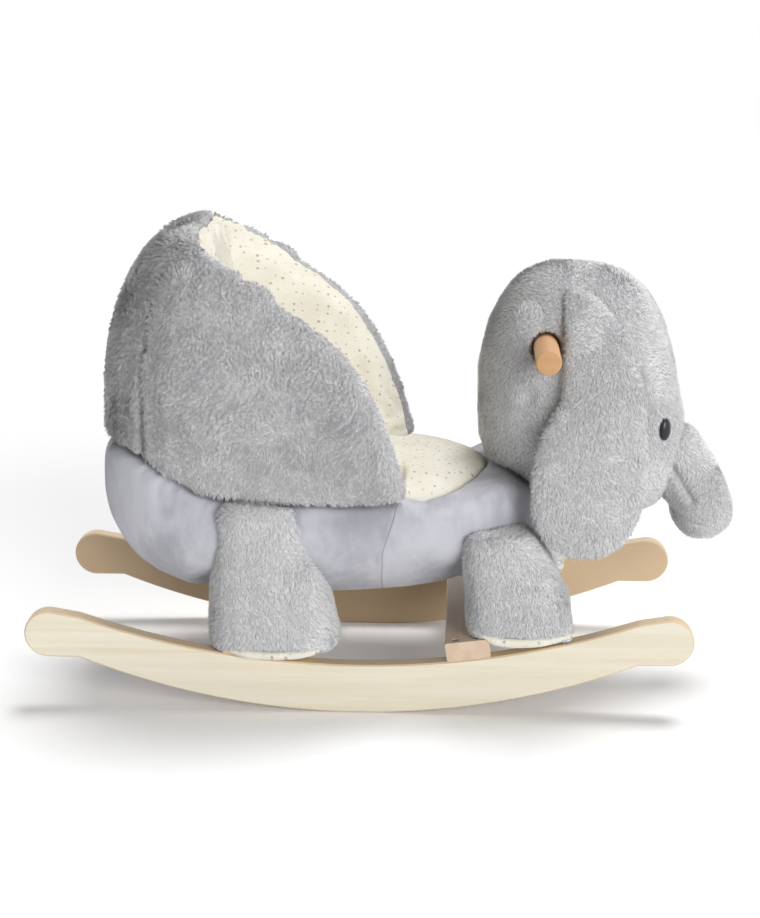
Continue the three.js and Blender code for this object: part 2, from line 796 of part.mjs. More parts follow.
const hipStations = (side) => {
  const wing = WING_EDGE_SHARES.map(([share]) => share).reverse().map((share) => {
    const x = wingStraight + (WELL.front - wingStraight) * share;
    return { foot: [x, side * WELL.halfWidth], out: [0, side], turned: 0, crest: wingEdge(x) };
  });
  const cornerSteps = 8;
  const corner = Array.from({ length: cornerSteps }, (_, i) => {
    const angle = Math.PI / 2 * (i + 1) / cornerSteps;
    const turned = Math.sin(angle) ** 2;
    const out = [-Math.sin(angle), side * Math.cos(angle)];
    const middle = [wingStraight, side * (WELL.halfWidth - WELL.corner)];
    return {
      foot: [middle[0] + WELL.corner * out[0], middle[1] + WELL.corner * out[1]],
      out,
      turned,
      crest: HIP.cornerCrest + (HIP.crest - HIP.cornerCrest) * Math.sin(angle) ** HIP.cornerRise,
    };
  });
  return [...wing, ...corner];
};

// One upright section of the hip, as ways out from the well and heights.
const hipProfile = ({ turned, crest }) => {
  const thickness = HIP.wingThickness + (HIP.backThickness - HIP.wingThickness) * turned;
  const crestOut = thickness * (WING_CREST_SHARE + (BACK_CREST_SHARE - WING_CREST_SHARE) * turned);
  const foot = seatTop + GAP;
  const bulge = foot + (crest - foot) * BULGE_SHARE;
  const { fullness } = HIP;
  const inner = (share) => {
    const angle = Math.PI / 2 * share;
    return [crestOut * (1 - Math.cos(angle)), foot + (crest - foot) * Math.sin(angle)];
  };
  const outer = (angle) => [
    crestOut + (thickness - crestOut) * Math.sin(angle) ** (2 / fullness),
    bulge + (crest - bulge) * Math.cos(angle) ** (2 / fullness),
  ];
  const lipAngle = (lip) => Math.asin(Math.min(lip / (thickness - crestOut), 1) ** (fullness / 2));
  return { thickness, foot, inner, outer, lipAngle };
};

const placed = ({ foot, out }, points) => points.map(([way, z]) => (
  [foot[0] + out[0] * way, foot[1] + out[1] * way, z]
));

const liningSection = (station) => {
  const { foot, inner, outer, lipAngle } = hipProfile(station);
  const lip = lipAngle(LINING.lipWidth);
  const steps = 7;
  const innerPoints = Array.from({ length: steps + 1 }, (_, i) => inner(i / steps));
  return placed(station, [...innerPoints, outer(lip / 2), outer(lip), [LINING.thickness, foot]]);
};

const furSection = (station) => {
  const { thickness, foot, outer, lipAngle } = hipProfile(station);
  const lip = lipAngle(LINING.lipWidth + GAP * 2);
  const steps = 8;
  const step = (Math.PI / 2 - lip) / steps;
  const outerPoints = Array.from({ length: steps + 1 }, (_, i) => outer(lip + step * i));
  const footPoint = [thickness * HIP_FOOT_SHARE, foot];
  return placed(station, [[LINING.thickness + GAP, foot], ...outerPoints, footPoint]);
};

// The stations run from the tip of the right wing round the back to the tip of the left wing.
const shellOf = (section, leanBack) => {
  const right = hipStations(-1);
  const left = hipStations(1).reverse();
  return solid(lofted([...right, ...left].map(section), leanBack));
};

const seamHalf = (side, shift) => {
  const angle = HIP.seamAngle * Math.PI / 180;
  const middle = [wingStraight, side * (WELL.halfWidth - WELL.corner)];
  const along = [-Math.sin(angle), side * Math.cos(angle)];
  const across = [Math.cos(angle), side * Math.sin(angle)];
  const start = [middle[0] + across[0] * shift, middle[1] + across[1] * shift];
  const far = [start[0] + along[0] * reach, start[1] + along[1] * reach];
  const wide = [far[0] + reach, far[1]];
  const near = [start[0] + reach, start[1]];
  const outline = side > 0 ? [start, near, wide, far] : [start, far, wide, near];
  return solid(slabUp(outline, 0, HIP.crest + OVERRUN));
};

const underHips = belowSkirt(GAP).subtract(hipPocket(-GAP));

const hipPieces = (section, leanBack) => {
  const shell = shellOf(section, leanBack).subtract(underHips);
  return {
    right: shell.intersect(seamHalf(-1, GAP / 2)),
    left: shell.intersect(seamHalf(1, GAP / 2)),
    back: cut(shell, seamHalf(-1, -GAP / 2), seamHalf(1, -GAP / 2)),
  };
};

const liningPieces = hipPieces(liningSection, false);
const furPieces = hipPieces(furSection, true);

// The seat pad fills the well between the wings and runs out to a rounded tongue in front of them.
// Each row holds its place, half width and crown, and how far it moves as the pad is grown.
const padRows = () => {
  const halfAt = (x) => {
    const back = Math.max(wingStraight - x, 0);
    return WELL.halfWidth - WELL.corner + Math.sqrt(Math.max(WELL.corner ** 2 - back ** 2, 0)) - 2 * GAP;
  };
  const rear = WELL.back + 2 * GAP;
  const neck = WELL.front + 2 * GAP;
  const tongueLength = SEAT_PAD.front - neck;
  const cornerRows = PAD_CORNER_SHARES.map((share) => {
    const x = rear + (wingStraight - rear) * share;
    return [x, halfAt(x), SEAT_PAD.rearCrown + (SEAT_PAD.crown - SEAT_PAD.rearCrown) * share / 2, share - 1];
  });
  const straightPlaces = [(wingStraight + neck) / 2, neck - 2 * GAP];
  const straightCrowns = [SEAT_PAD.crown, SEAT_PAD.neckCrown];
  const straight = straightPlaces.map((x, i) => [x, halfAt(neck), straightCrowns[i], 0]);
  const tongue = TONGUE_SHARES.map(([place, half]) => [
    neck + 2 * GAP + tongueLength * place,
    SEAT_PAD.width / 2 * half,
    SEAT_PAD.neckCrown + (SEAT_PAD.frontCrown - SEAT_PAD.neckCrown) * place,
    2 * place - 1,
  ]);
  return [...cornerRows, ...straight, ...tongue];
};

const seatPadSolid = (grow = 0) => {
  const steps = 12;
  const foot = seatTop + GAP;
  const sections = padRows().map(([place, half, crown, move]) => {
    const x = place + grow * move;
    const arc = Array.from({ length: steps + 1 }, (_, s) => {
      const angle = Math.PI * s / steps;
      return [
        x,
        (half + grow) * power(Math.cos(angle), 2 / SEAT_PAD.sideRoundness),
        SEAT_PAD.edge + (crown + grow - SEAT_PAD.edge) * power(Math.sin(angle), 2 / SEAT_PAD.crownRoundness),
      ];
    });
    return [...arc, [x, -half - grow, foot - grow], [x, half + grow, foot - grow]];
  });
  return solid(lofted(sections.map((section) => [...section].reverse())));
};

const neckTools = (grow) => [
  ...SIDES.map(([, side]) => neckBoardSolid(side, grow)),
  neckBlockSolid(grow),
];

const bellyTools = (grow) => [hipPocket(grow), seatPadSolid(grow), seatBoardSolid(grow), ...neckTools(grow)];

const bellyCut = (grow) => bellyBlank(grow).intersect(belowSkirt(grow));

const belly = named('belly', cut(
  bellyCut(0),
  ...bellyTools(GAP),
  ...corners.map((corner) => postSolid(corner, GAP)),
), 'velour');

const seatPad = named('seat_pad', cut(seatPadSolid(), ...neckTools(GAP)), 'cotton');

const lining = {
  back: named('back_lining', cut(liningPieces.back, seatPadSolid(GAP)), 'cotton'),
  right: named('wing_lining_right', cut(liningPieces.right, seatPadSolid(GAP)), 'cotton'),
  left: named('wing_lining_left', cut(liningPieces.left, seatPadSolid(GAP)), 'cotton'),
};

const fur = {
  back: named('back_bolster', cut(furPieces.back, backBoardSolid(GAP)), 'fur'),
  right: named('wing_right', furPieces.right, 'fur'),
  left: named('wing_left', furPieces.left, 'fur'),
};

// Head, eyes, trunk and ears

const headRows = HEAD_SHARES.map(([height, back, face, half]) => [
  HEAD.bottom + HEAD.height * height,
  HEAD.rear + HEAD.length * back,
  HEAD.rear + HEAD.length * face,
  0,
  HEAD.width / 2 * half,
]);

const headBlank = (grow = 0) => stuffed(
  headRows,
  { along: 'z', count: 16, sides: 26, roundness: HEAD.roundness, grow },
);

// A point of the head's skin at a height and a bearing from straight ahead, with its outward direction.
const headSkin = (height, bearing) => {
  const rows = smoothRows(headRows, 80);
  const row = rows.find(([z]) => z >= height);
  const [, back, face, , half] = row;
  const [middle, length] = [(back + face) / 2, (face - back) / 2];
  const exponent = 2 / HEAD.roundness;
  const point = new THREE.Vector3(
    middle + length * power(Math.cos(bearing), exponent),
    half * power(Math.sin(bearing), exponent),
    height,
  );
  const outward = new THREE.Vector3(
    power(Math.cos(bearing), 2 - exponent) / length,
    power(Math.sin(bearing), 2 - exponent) / half,
    0,
  );
  return { point, outward: outward.normalize() };
};

// A domed eye on a stem that is pushed into the head. Grown, it is the hole for one.
const eyeShape = (grow = 0) => {
  const steps = 4;
  const dome = Array.from({ length: steps }, (_, i) => {
    const angle = Math.PI / 2 * i / steps;
    return [(EYE.radius + grow) * Math.cos(angle), (EYE.dome + grow) * Math.sin(angle)];
  });
  const stem = EYE.stem + grow;
  const foot = -EYE.stemLength - grow;
  const rim = grow > 0 ? [[EYE.radius + grow, -grow]] : [];
  const points = [[0, foot], [stem, foot], [stem, -grow], ...rim, ...dome, [0, EYE.dome + grow]];
  return new THREE.LatheGeometry(flatPoints(points), 10);
};

const eyes = SIDES.map(([sideName, side]) => {
  const { point, outward } = headSkin(EYE.height, side * EYE.bearing * Math.PI / 180);
  const place = point.clone().addScaledVector(outward, -EYE.inset);
  const turn = new THREE.Quaternion().setFromUnitVectors(new THREE.Vector3(0, 1, 0), outward);
  const matrix = new THREE.Matrix4().compose(place, turn, new THREE.Vector3(1, 1, 1));
  const mesh = named(`eye_${sideName}`, eyeShape(), 'eye');
  mesh.position.copy(place);
  mesh.quaternion.copy(turn);
  return { mesh, hole: solid(eyeShape(GAP).applyMatrix4(matrix)) };
});

// The trunk ends in a round knuckle that sits in the face, so that it can bend up and down there.
const knuckleSolid = (grow = 0) => {
  const geometry = new THREE.SphereGeometry(1, 24, 10);
  geometry.scale(TRUNK.knuckle + grow, TRUNK.width / 2 + grow, TRUNK.knuckle + grow);
  geometry.translate(TRUNK.rootX, 0, TRUNK.rootHeight);
  return solid(geometry);
};

const trunkSolid = (grow = 0) => {
  const curve = new THREE.QuadraticBezierCurve(
    new THREE.Vector2(TRUNK.rootX, TRUNK.rootHeight),
    new THREE.Vector2(TRUNK.bendX, TRUNK.bendHeight),
    new THREE.Vector2(TRUNK.tipX, TRUNK.tipHeight),
  );
  const count = 11;
  const sides = 18;
  const rings = Array.from({ length: count - 1 }, (_, i) => {
    const t = (i + 1) / count;
    const middle = curve.getPoint(t);
    const ahead = curve.getTangent(t);
    const past = Math.max(t - TRUNK_TIP_SHARE, 0) / (1 - TRUNK_TIP_SHARE);
    const end = Math.sqrt(1 - past ** 2);
    const radius = (TRUNK.knuckle + (TRUNK.tipRadius - TRUNK.knuckle) * t) * end + grow;
    const half = TRUNK.width / 2 * (1 + (TRUNK.tipRadius / TRUNK.knuckle - 1) * t) * end + grow;
    return Array.from({ length: sides }, (__, s) => {
      const angle = 2 * Math.PI * s / sides;
      const across = radius * Math.sin(angle);
      return [middle.x - ahead.y * across, half * Math.cos(angle), middle.y + ahead.x * across];
    });
  });
  const tip = [TRUNK.tipX, 0, TRUNK.tipHeight - grow];
  const tube = solid(skinOf(rings, [TRUNK.rootX, 0, TRUNK.rootHeight], tip));
  return tube.add(knuckleSolid(grow));
};

const earRows = (side) => EAR_SHARES.map(([height, rearEdge, frontEdge, out, half]) => [
  EAR.bottom + EAR.height * height,
  EAR.rear + EAR.length * rearEdge,
  EAR.rear + EAR.length * frontEdge,
  side * (EAR.rootOut + (EAR.tipOut - EAR.rootOut) * out),
  EAR.thickness / 2 * half,
]);

const earSolid = (side, grow = 0) => stuffed(
  earRows(side),
  { along: 'z', count: 16, sides: 14, roundness: EAR.roundness, grow },
);

const ears = SIDES.map(([sideName, side]) => named(
  `ear_${sideName}`,
  cut(earSolid(side), headBlank(GAP), handleSolid(GAP)),
  'fur',
));

const head = named('head', cut(
  headBlank(),
  bellyCut(GAP),
  seatPadSolid(GAP),
  seatBoardSolid(GAP),
  ...neckTools(GAP),
  handleSolid(GAP),
  trunkSolid(TRUNK.socketGap),
  ...eyes.map(({ hole }) => hole),
), 'fur');

const trunk = named('trunk', trunkSolid(), 'fur');

// Plush legs and their soles

const LEGS = [
  { end: 'front', size: FRONT_LEG, shares: FRONT_LEG_SHARES },
  { end: 'rear', size: REAR_LEG, shares: REAR_LEG_SHARES },
];

const legs = LEGS.flatMap(({ end, size, shares }) => SIDES.flatMap(([sideName, side], s) => {
  const rows = shares.map(([height, rearEdge, frontEdge, middle, half]) => [
    size.bottom + size.height * height,
    size.rear + size.length * rearEdge,
    size.rear + size.length * frontEdge,
    side * (size.inner + size.depth * middle),
    size.depth / 2 * half,
  ]);
  const blank = stuffed(rows, { along: 'z', count: 13, sides: 18, roundness: size.roundness });
  const whole = cut(
    blank.intersect(belowSkirt(-GAP)),
    bellyBlank(GAP),
    headBlank(GAP),
    earSolid(side, GAP),
    rockerSolid(side, GAP),
    seatBoardSolid(GAP),
    ...ENDS.map(({ slatX }) => slatBlank(slatX, GAP)),
    ...corners.filter((corner) => corner.end === end).map((corner) => postSolid(corner, GAP)),
  );
  const soleTop = size.bottom + SOLE.thickness;
  const slice = (low, high) => solid(blockBetween([-reach, -reach, low], [reach, reach, high]));
  return [
    named(`${end}_leg_${sideName}`, whole.intersect(slice(soleTop + GAP / 2, reach)), 'fur'),
    named(`${end}_sole_${sideName}`, largest(whole.intersect(slice(0, soleTop - GAP / 2))), 'cotton'),
  ];
}));

// The toy, centred on its own box

const toy = groupOf(
  groupOf(...rockers, ...slats, ...slatScrewMeshes),
  groupOf(...posts, seatBoard, backBoard, ...neckBoards, neckBlock, handle, ...frameScrews),
  groupOf(belly, seatPad, ...Object.values(lining), ...Object.values(fur), ...legs),
  groupOf(head, trunk, ...ears, ...eyes.map(({ mesh }) => mesh)),
);

const box = new THREE.Box3().setFromObject(toy, true);
toy.position.set(-(box.min.x + box.max.x) / 2, -(box.min.y + box.max.y) / 2, -box.min.z);

export default groupOf(toy);
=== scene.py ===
"""A plush rocking elephant on plywood rockers: its fur, velour, printed cotton and wood."""

import logging
import math
from dataclasses import dataclass, replace
from enum import Enum
from typing import Any, Optional, Sequence, Union

import bmesh
import bpy
import numpy as np
from mathutils import Matrix, Vector
from mathutils.bvhtree import BVHTree
from mathutils.kdtree import KDTree


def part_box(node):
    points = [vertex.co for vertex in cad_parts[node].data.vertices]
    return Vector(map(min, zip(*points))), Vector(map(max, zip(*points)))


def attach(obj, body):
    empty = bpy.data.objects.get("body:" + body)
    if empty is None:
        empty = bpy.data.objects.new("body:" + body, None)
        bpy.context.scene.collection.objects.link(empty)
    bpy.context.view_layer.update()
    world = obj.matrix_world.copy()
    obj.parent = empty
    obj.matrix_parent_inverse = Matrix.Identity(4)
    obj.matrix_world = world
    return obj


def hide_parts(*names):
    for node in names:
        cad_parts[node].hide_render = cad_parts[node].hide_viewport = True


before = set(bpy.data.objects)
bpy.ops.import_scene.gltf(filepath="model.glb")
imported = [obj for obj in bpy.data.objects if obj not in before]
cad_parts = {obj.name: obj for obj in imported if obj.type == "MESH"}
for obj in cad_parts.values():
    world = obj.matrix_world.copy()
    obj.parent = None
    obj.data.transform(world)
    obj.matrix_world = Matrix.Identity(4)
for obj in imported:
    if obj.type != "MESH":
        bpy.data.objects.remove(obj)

log = logging.getLogger("rocking_elephant")

MM = 0.001
COVERED_SHARE = 0.75
Array = np.ndarray
Colour = tuple[float, float, float]


def mm(*values: float) -> tuple[float, ...]:
    """Gives millimetres in metres."""
    return tuple(value * MM for value in values)


class Body(Enum):
    """The moving bodies of the toy."""

    TOY = "toy"
    EAR_RIGHT = "ear_right"
    EAR_LEFT = "ear_left"
    TRUNK = "trunk"


class Side(Enum):
    """The right and the left of the animal, with the sign of its Y."""

    RIGHT = -1
    LEFT = 1

    @property
    def word(self) -> str:
        """The side's name, as the nodes spell it."""
        return self.name.lower()


# Shader graphs


class Wire:
    """One output of a node, with the sums that can be made of it."""

    def __init__(self, graph: "Graph", socket: bpy.types.NodeSocket) -> None:
        """Keeps the socket and the graph that it belongs to.

        Args:
            graph: The graph that new nodes are added to.
            socket: The output socket that is wrapped.
        """
        self.graph = graph
        self.socket = socket

    def _sum(self, operation: str, *terms: Any) -> "Wire":
        """Adds one Math node to the graph.

        Args:
            operation: The Math node's operation.
            terms: The wires and numbers that it works on.

        Returns:
            The node's output.
        """
        return self.graph.node("ShaderNodeMath", {"operation": operation}, dict(enumerate(terms)))

    def __add__(self, other: Any) -> "Wire":
        """Adds a wire or a number."""
        return self._sum("ADD", self, other)

    def __radd__(self, other: Any) -> "Wire":
        """Adds a wire or a number that stands first."""
        return self._sum("ADD", other, self)

    def __sub__(self, other: Any) -> "Wire":
        """Takes a wire or a number away."""
        return self._sum("SUBTRACT", self, other)

    def __rsub__(self, other: Any) -> "Wire":
        """Takes this wire away from a number."""
        return self._sum("SUBTRACT", other, self)

    def __mul__(self, other: Any) -> "Wire":
        """Multiplies by a wire or a number."""
        return self._sum("MULTIPLY", self, other)

    def __truediv__(self, other: Any) -> "Wire":
        """Divides by a wire or a number."""
        return self._sum("DIVIDE", self, other)

    def low(self, other: Any) -> "Wire":
        """The smaller of this and another."""
        return self._sum("MINIMUM", self, other)

    def high(self, other: Any) -> "Wire":
        """The larger of this and another."""
        return self._sum("MAXIMUM", self, other)

    def rounded_high(self, other: Any, spread: float) -> "Wire":
        """The larger of this and another, rounded over a spread where they meet."""
        return self._sum("SMOOTH_MAX", self, other, spread)

    def size(self) -> "Wire":
        """The value without its sign."""
        return self._sum("ABSOLUTE", self)

    def folded(self, period: float) -> "Wire":
        """The value folded to and fro between nought and a period."""
        return self._sum("PINGPONG", self, period)

    def stepped(self, start: float, end: float) -> "Wire":
        """A smooth step from nought at start to one at end."""
        ends = {0: self, 1: start, 2: end, 3: 0.0, 4: 1.0}
        return self.graph.node("ShaderNodeMapRange", {"interpolation_type": "SMOOTHSTEP"}, ends)


class Graph:
    """The node tree of one material, built from a Principled surface."""

    def __init__(self, name: str) -> None:
        """Makes an empty material with its surface and output.

        Args:
            name: The material's name.
        """
        self.material = bpy.data.materials.new(name)
        self.material.use_nodes = True
        self.tree = self.material.node_tree
        self.tree.nodes.clear()
        self.surface = self.tree.nodes.new("ShaderNodeBsdfPrincipled")
        output = self.tree.nodes.new("ShaderNodeOutputMaterial")
        self.tree.links.new(self.surface.outputs[0], output.inputs[0])

    def node(
        self,
        kind: str,
        settings: Optional[dict[str, Any]] = None,
        inputs: Optional[dict[Union[str, int], Any]] = None,
        output: Union[str, int] = 0,
    ) -> Wire:
        """Adds a node, with its settings first and then its sockets.

        Args:
            kind: The node's type.
            settings: Its properties by name; stops fills a colour ramp.
            inputs: A wire or a value for each socket, by name or number.
            output: The output that is returned.

        Returns:
            The chosen output as a wire.
        """
        made = self.tree.nodes.new(kind)
        for name, value in (settings or {}).items():
            if name == "stops":
                self._fill_ramp(made.color_ramp, value)
            else:
                setattr(made, name, value)
        for name, value in (inputs or {}).items():
            self._feed(made.inputs[name], value)
        return Wire(self, made.outputs[output])

    def _feed(self, socket: bpy.types.NodeSocket, value: Any) -> None:
        """Links a wire to a socket, or sets the socket's value.

        Args:
            socket: The input socket.
            value: A wire, a number, a vector or a colour.
        """
        if isinstance(value, Wire):
            self.tree.links.new(value.socket, socket)
        elif socket.type == "RGBA" and len(value) == 3:
            socket.default_value = (*value, 1.0)
        else:
            socket.default_value = value

    @staticmethod
    def _fill_ramp(ramp: bpy.types.ColorRamp, stops: Sequence[tuple[float, Colour]]) -> None:
        """Sets a colour ramp's stops.

        Args:
            ramp: The ramp.
            stops: Each stop's place and colour.
        """
        for place, _ in stops[2:]:
            ramp.elements.new(place)
        for element, (place, colour) in zip(ramp.elements, stops):
            element.position = place
            element.color = (*colour, 1.0)

    def place(self, scale: Colour = (1.0, 1.0, 1.0), source: str = "Object") -> Wire:
        """Coordinates in metres, scaled to turn lengths into pattern units.

        Args:
            scale: The scale along each axis.
            source: Object or UV.

        Returns:
            The coordinates.
        """
        return self.node("ShaderNodeMapping", None, {"Vector": self.place_raw(source), "Scale": scale})

    def place_raw(self, source: str) -> Wire:
        """Coordinates as the mesh has them."""
        return self.node("ShaderNodeTexCoord", output=source)

    def noise(self, where: Wire, scale: float, detail: float = 2.0, rough: float = 0.5) -> Wire:
        """A cloud pattern from nought to one."""
        inputs = {"Vector": where, "Scale": scale, "Detail": detail, "Roughness": rough}
        return self.node("ShaderNodeTexNoise", None, inputs)

    def mix(self, factor: Any, first: Any, second: Any, blend: str = "MIX") -> Wire:
        """Mixes two colours.

        Args:
            factor: How much of the second shows.
            first: The first colour.
            second: The second colour.
            blend: The way that they mix.

        Returns:
            The mixed colour.
        """
        settings = {"data_type": "RGBA", "blend_type": blend}
        return self.node("ShaderNodeMix", settings, {0: factor, 6: first, 7: second}, 2)

    def attribute(self, name: str) -> Wire:
        """A number that the mesh holds at each point."""
        return self.node("ShaderNodeAttribute", {"attribute_name": name}, None, "Fac")

    def bumped(self, height: Wire, depth: float, strength: float = 1.0) -> None:
        """Feeds a height to the surface's normal.

        Args:
            height: The height, from nought to one.
            depth: What a height of one measures, in metres.
            strength: How much of the relief shows.
        """
        inputs = {"Height": height, "Distance": depth, "Strength": strength}
        normal = self.node("ShaderNodeBump", None, inputs)
        self.tree.links.new(normal.socket, self.surface.inputs["Normal"])

    def finish(self, **sockets: Any) -> bpy.types.Material:
        """Sets the surface's sockets, named with underscores for spaces.

        Args:
            sockets: A wire or a value for each.

        Returns:
            The material.
        """
        for name, value in sockets.items():
            self._feed(self.surface.inputs[name.replace("_", " ")], value)
        return self.material


# Finishes


@dataclass(frozen=True)
class PlushPile:
    """The tufts of the grey fur: darker at the root with painted shade inside the pile, pale at the tip, in
    soft patches.
    """

    name: str = "fur_pile"
    # Painted shade: the root colour darkens each tuft towards the skin.
    root: Colour = (0.64, 0.645, 0.65)
    tip: Colour = (0.96, 0.965, 0.96)
    dusk: Colour = (0.82, 0.815, 0.825)
    patches: float = 9.0
    darker: Colour = (0.88, 0.88, 0.88)
    lighter: Colour = (1.14, 1.14, 1.14)
    pale_from: float = 0.75
    cloud_share: float = 0.45

    def material(self) -> bpy.types.Material:
        """Builds the material from the pile's own point values.

        Returns:
            The material.
        """
        graph = Graph(self.name)
        rise = graph.attribute("rise").stepped(0.0, self.pale_from)
        shade = graph.attribute("shade")
        cloud = graph.noise(graph.place(), scale=self.patches, detail=3.0, rough=0.55).stepped(0.38, 0.68)
        mottle = graph.noise(graph.place(), scale=40.0, detail=4.0, rough=0.65).stepped(0.42, 0.62)
        patch = cloud * self.cloud_share + mottle * (1 - self.cloud_share)
        # Painted shade: from the dark root to the pale tip along each tuft.
        colour = graph.mix(rise, self.root, graph.mix(patch, self.tip, self.dusk))
        varied = graph.mix(1.0, colour, graph.mix(shade, self.darker, self.lighter), "MULTIPLY")
        return graph.finish(
            Base_Color=varied,
            Roughness=0.95,
            Specular_IOR_Level=0.1,
            Sheen_Weight=0.2,
            Sheen_Roughness=0.5,
        )


@dataclass(frozen=True)
class PlushBacking:
    """The knitted backing under the fur, seen only where the pile parts, darker than the pile with painted
    shade.
    """

    name: str = "fur_backing"
    # Painted shade: both colours are darker than the fur, for the shade between the tufts.
    colour: Colour = (0.58, 0.58, 0.595)
    deep: Colour = (0.42, 0.42, 0.435)
    relief: float = 1.5 * MM

    def material(self) -> bpy.types.Material:
        """Builds the material.

        Returns:
            The material.
        """
        graph = Graph(self.name)
        clump = graph.noise(graph.place(), scale=320.0, detail=3.0, rough=0.6)
        # Painted shade: darker still in the low places of the bump.
        colour = graph.mix(clump.stepped(0.35, 0.7), self.deep, self.colour)
        graph.bumped(clump, self.relief)
        return graph.finish(Base_Color=colour, Roughness=1.0, Specular_IOR_Level=0.1)


@dataclass(frozen=True)
class Velour:
    """Short lavender-grey velour, with a soft sheen, brushed patches and one sewn seam on each side."""

    name: str = "belly_velour"
    colour: Colour = (0.335, 0.34, 0.38)
    brushed: Colour = (0.57, 0.575, 0.62)
    # Painted shade: the colour laid in the seam's groove.
    seam: Colour = (0.22, 0.22, 0.26)
    seam_foot: float = -55.0 * MM
    seam_lean: float = 0.31
    seam_turn: float = 170 * MM
    seam_bend: float = 40 * MM
    seam_sway: float = 3.0 * MM
    seam_half: float = 0.8 * MM
    seam_shade: float = 0.22
    relief: float = 0.9 * MM
    sheen: tuple[float, float, float, float] = (0.93, 0.94, 1.0, 1.0)

    def material(self) -> bpy.types.Material:
        """Builds the material.

        Returns:
            The material.
        """
        graph = Graph(self.name)
        where = graph.place()
        patch = graph.noise(graph.place((1.0, 1.0, 0.6)), scale=17.0, detail=5.0, rough=0.6)
        patch = patch.stepped(0.34, 0.64)
        fine = graph.noise(where, scale=750.0, detail=2.0, rough=0.6)
        streak = graph.noise(graph.place((1.0, 1.0, 0.3)), scale=150.0, detail=3.0, rough=0.55)
        tone = (patch * 0.7 + fine * 0.12 + streak * 0.28).low(1.0)
        near, groove = self._seam(graph, where)
        relief = fine * 0.25 + streak * 0.3 + patch * 0.5 - groove * 1.3 + near * 1.2
        graph.bumped(relief, self.relief, strength=0.7)
        colour = graph.mix(tone, self.colour, self.brushed)
        # Painted shade: the seam's groove is darkened.
        colour = graph.mix(groove * self.seam_shade, colour, self.seam)
        return graph.finish(
            Base_Color=colour,
            Roughness=0.85,
            Specular_IOR_Level=0.2,
            Sheen_Weight=0.4,
            Sheen_Roughness=0.4,
            Sheen_Tint=self.sheen,
        )

    def _seam(self, graph: Graph, where: Wire) -> tuple[Wire, Wire]:
        """The seam that runs down each flank, as a distance from a leaning line.

        Args:
            graph: The material's graph.
            where: Coordinates in metres.

        Returns:
            The swell beside the seam and the groove along it, both from nought to one.
        """
        x = graph.node("ShaderNodeSeparateXYZ", None, {0: where}, "X")
        z = graph.node("ShaderNodeSeparateXYZ", None, {0: where}, "Z")
        z = z.rounded_high(self.seam_turn, self.seam_bend)
        sway = (graph.noise(where, scale=30.0, detail=1.0) - 0.5) * self.seam_sway
        away = (x - z * self.seam_lean - self.seam_foot + sway).size()
        swell = 1.0 - away.stepped(self.seam_half, self.seam_half * 9)
        return swell, 1.0 - away.stepped(self.seam_half * 0.3, self.seam_half * 1.3)


@dataclass(frozen=True)
class DottedCotton:
    """Cream woven cotton with small scattered specks."""

    name: str = "dotted_cotton"
    cloth: Colour = (0.845, 0.815, 0.715)
    # Painted shade: the darker colour laid in the low places of the wrinkle bump.
    fold: Colour = (0.775, 0.74, 0.63)
    speck: Colour = (0.33, 0.27, 0.21)
    spacing: float = 12.0 * MM
    radius: float = 1.35 * MM
    fine_spacing: float = 7.5 * MM
    fine_radius: float = 0.55 * MM
    thread: float = 0.5 * MM
    relief: float = 1.4 * MM

    def material(self) -> bpy.types.Material:
        """Builds the material on the piece's own flat coordinates, which are in metres.

        Returns:
            The material.
        """
        graph = Graph(self.name)
        flat = graph.place(source="UV")
        ragged = graph.noise(flat, scale=700.0, detail=1.0) - 0.5
        faint = graph.noise(flat, scale=75.0, detail=0.0).stepped(0.3, 0.6)
        dot = self._dots(graph, flat, ragged, self.spacing, self.radius) * (faint * 0.4 + 0.35)
        speck = self._dots(graph, flat, ragged, self.fine_spacing, self.fine_radius)
        speck = speck * (faint * 0.3 + 0.12)
        warp, weft = (
            graph.node("ShaderNodeTexWave", {"bands_direction": way}, self._threads(flat)) for way in "XY"
        )
        slack = graph.noise(flat, scale=22.0, detail=3.0, rough=0.5)
        graph.bumped(warp * 0.1 + weft * 0.1 + slack * 1.6, self.relief, strength=0.55)
        # Painted shade: the cloth darkens in the low places of its wrinkle bump.
        cloth = graph.mix(slack.stepped(0.3, 0.62), self.fold, self.cloth)
        return graph.finish(
            Base_Color=graph.mix(dot.high(speck), cloth, self.speck),
            Roughness=0.9,
            Specular_IOR_Level=0.2,
            Sheen_Weight=0.12,
        )

    def _dots(self, graph: Graph, flat: Wire, ragged: Wire, spacing: float, radius: float) -> Wire:
        """Loosely scattered dots of uneven size.

        Args:
            graph: The material's graph.
            flat: The cloth's flat coordinates.
            ragged: What frays the dots' edges, about nought.
            spacing: How far apart they lie.
            radius: Their middle radius.

        Returns:
            One on a dot and nought beside it.
        """
        cells = {"Vector": flat, "Scale": 1 / spacing, "Randomness": 0.72}
        settings = {"voronoi_dimensions": "2D"}
        away = graph.node("ShaderNodeTexVoronoi", settings, cells, "Distance")
        tint = graph.node("ShaderNodeTexVoronoi", settings, cells, "Color")
        share = radius / spacing
        size = (graph.node("ShaderNodeSeparateXYZ", None, {0: tint}, "X") * 0.7 + 0.6) * share
        nearness = (size + ragged * share - away) / size
        return nearness.stepped(-0.25, 0.35)

    def _threads(self, flat: Wire) -> dict[str, Any]:
        """The sockets of one set of threads."""
        return {"Vector": flat, "Scale": 1 / self.thread / math.tau, "Distortion": 0.4}


class Cut(Enum):
    """How a wooden piece's surface was cut from its board."""

    PLY = "ply"
    SLAT = "slat"
    DOWEL = "dowel"


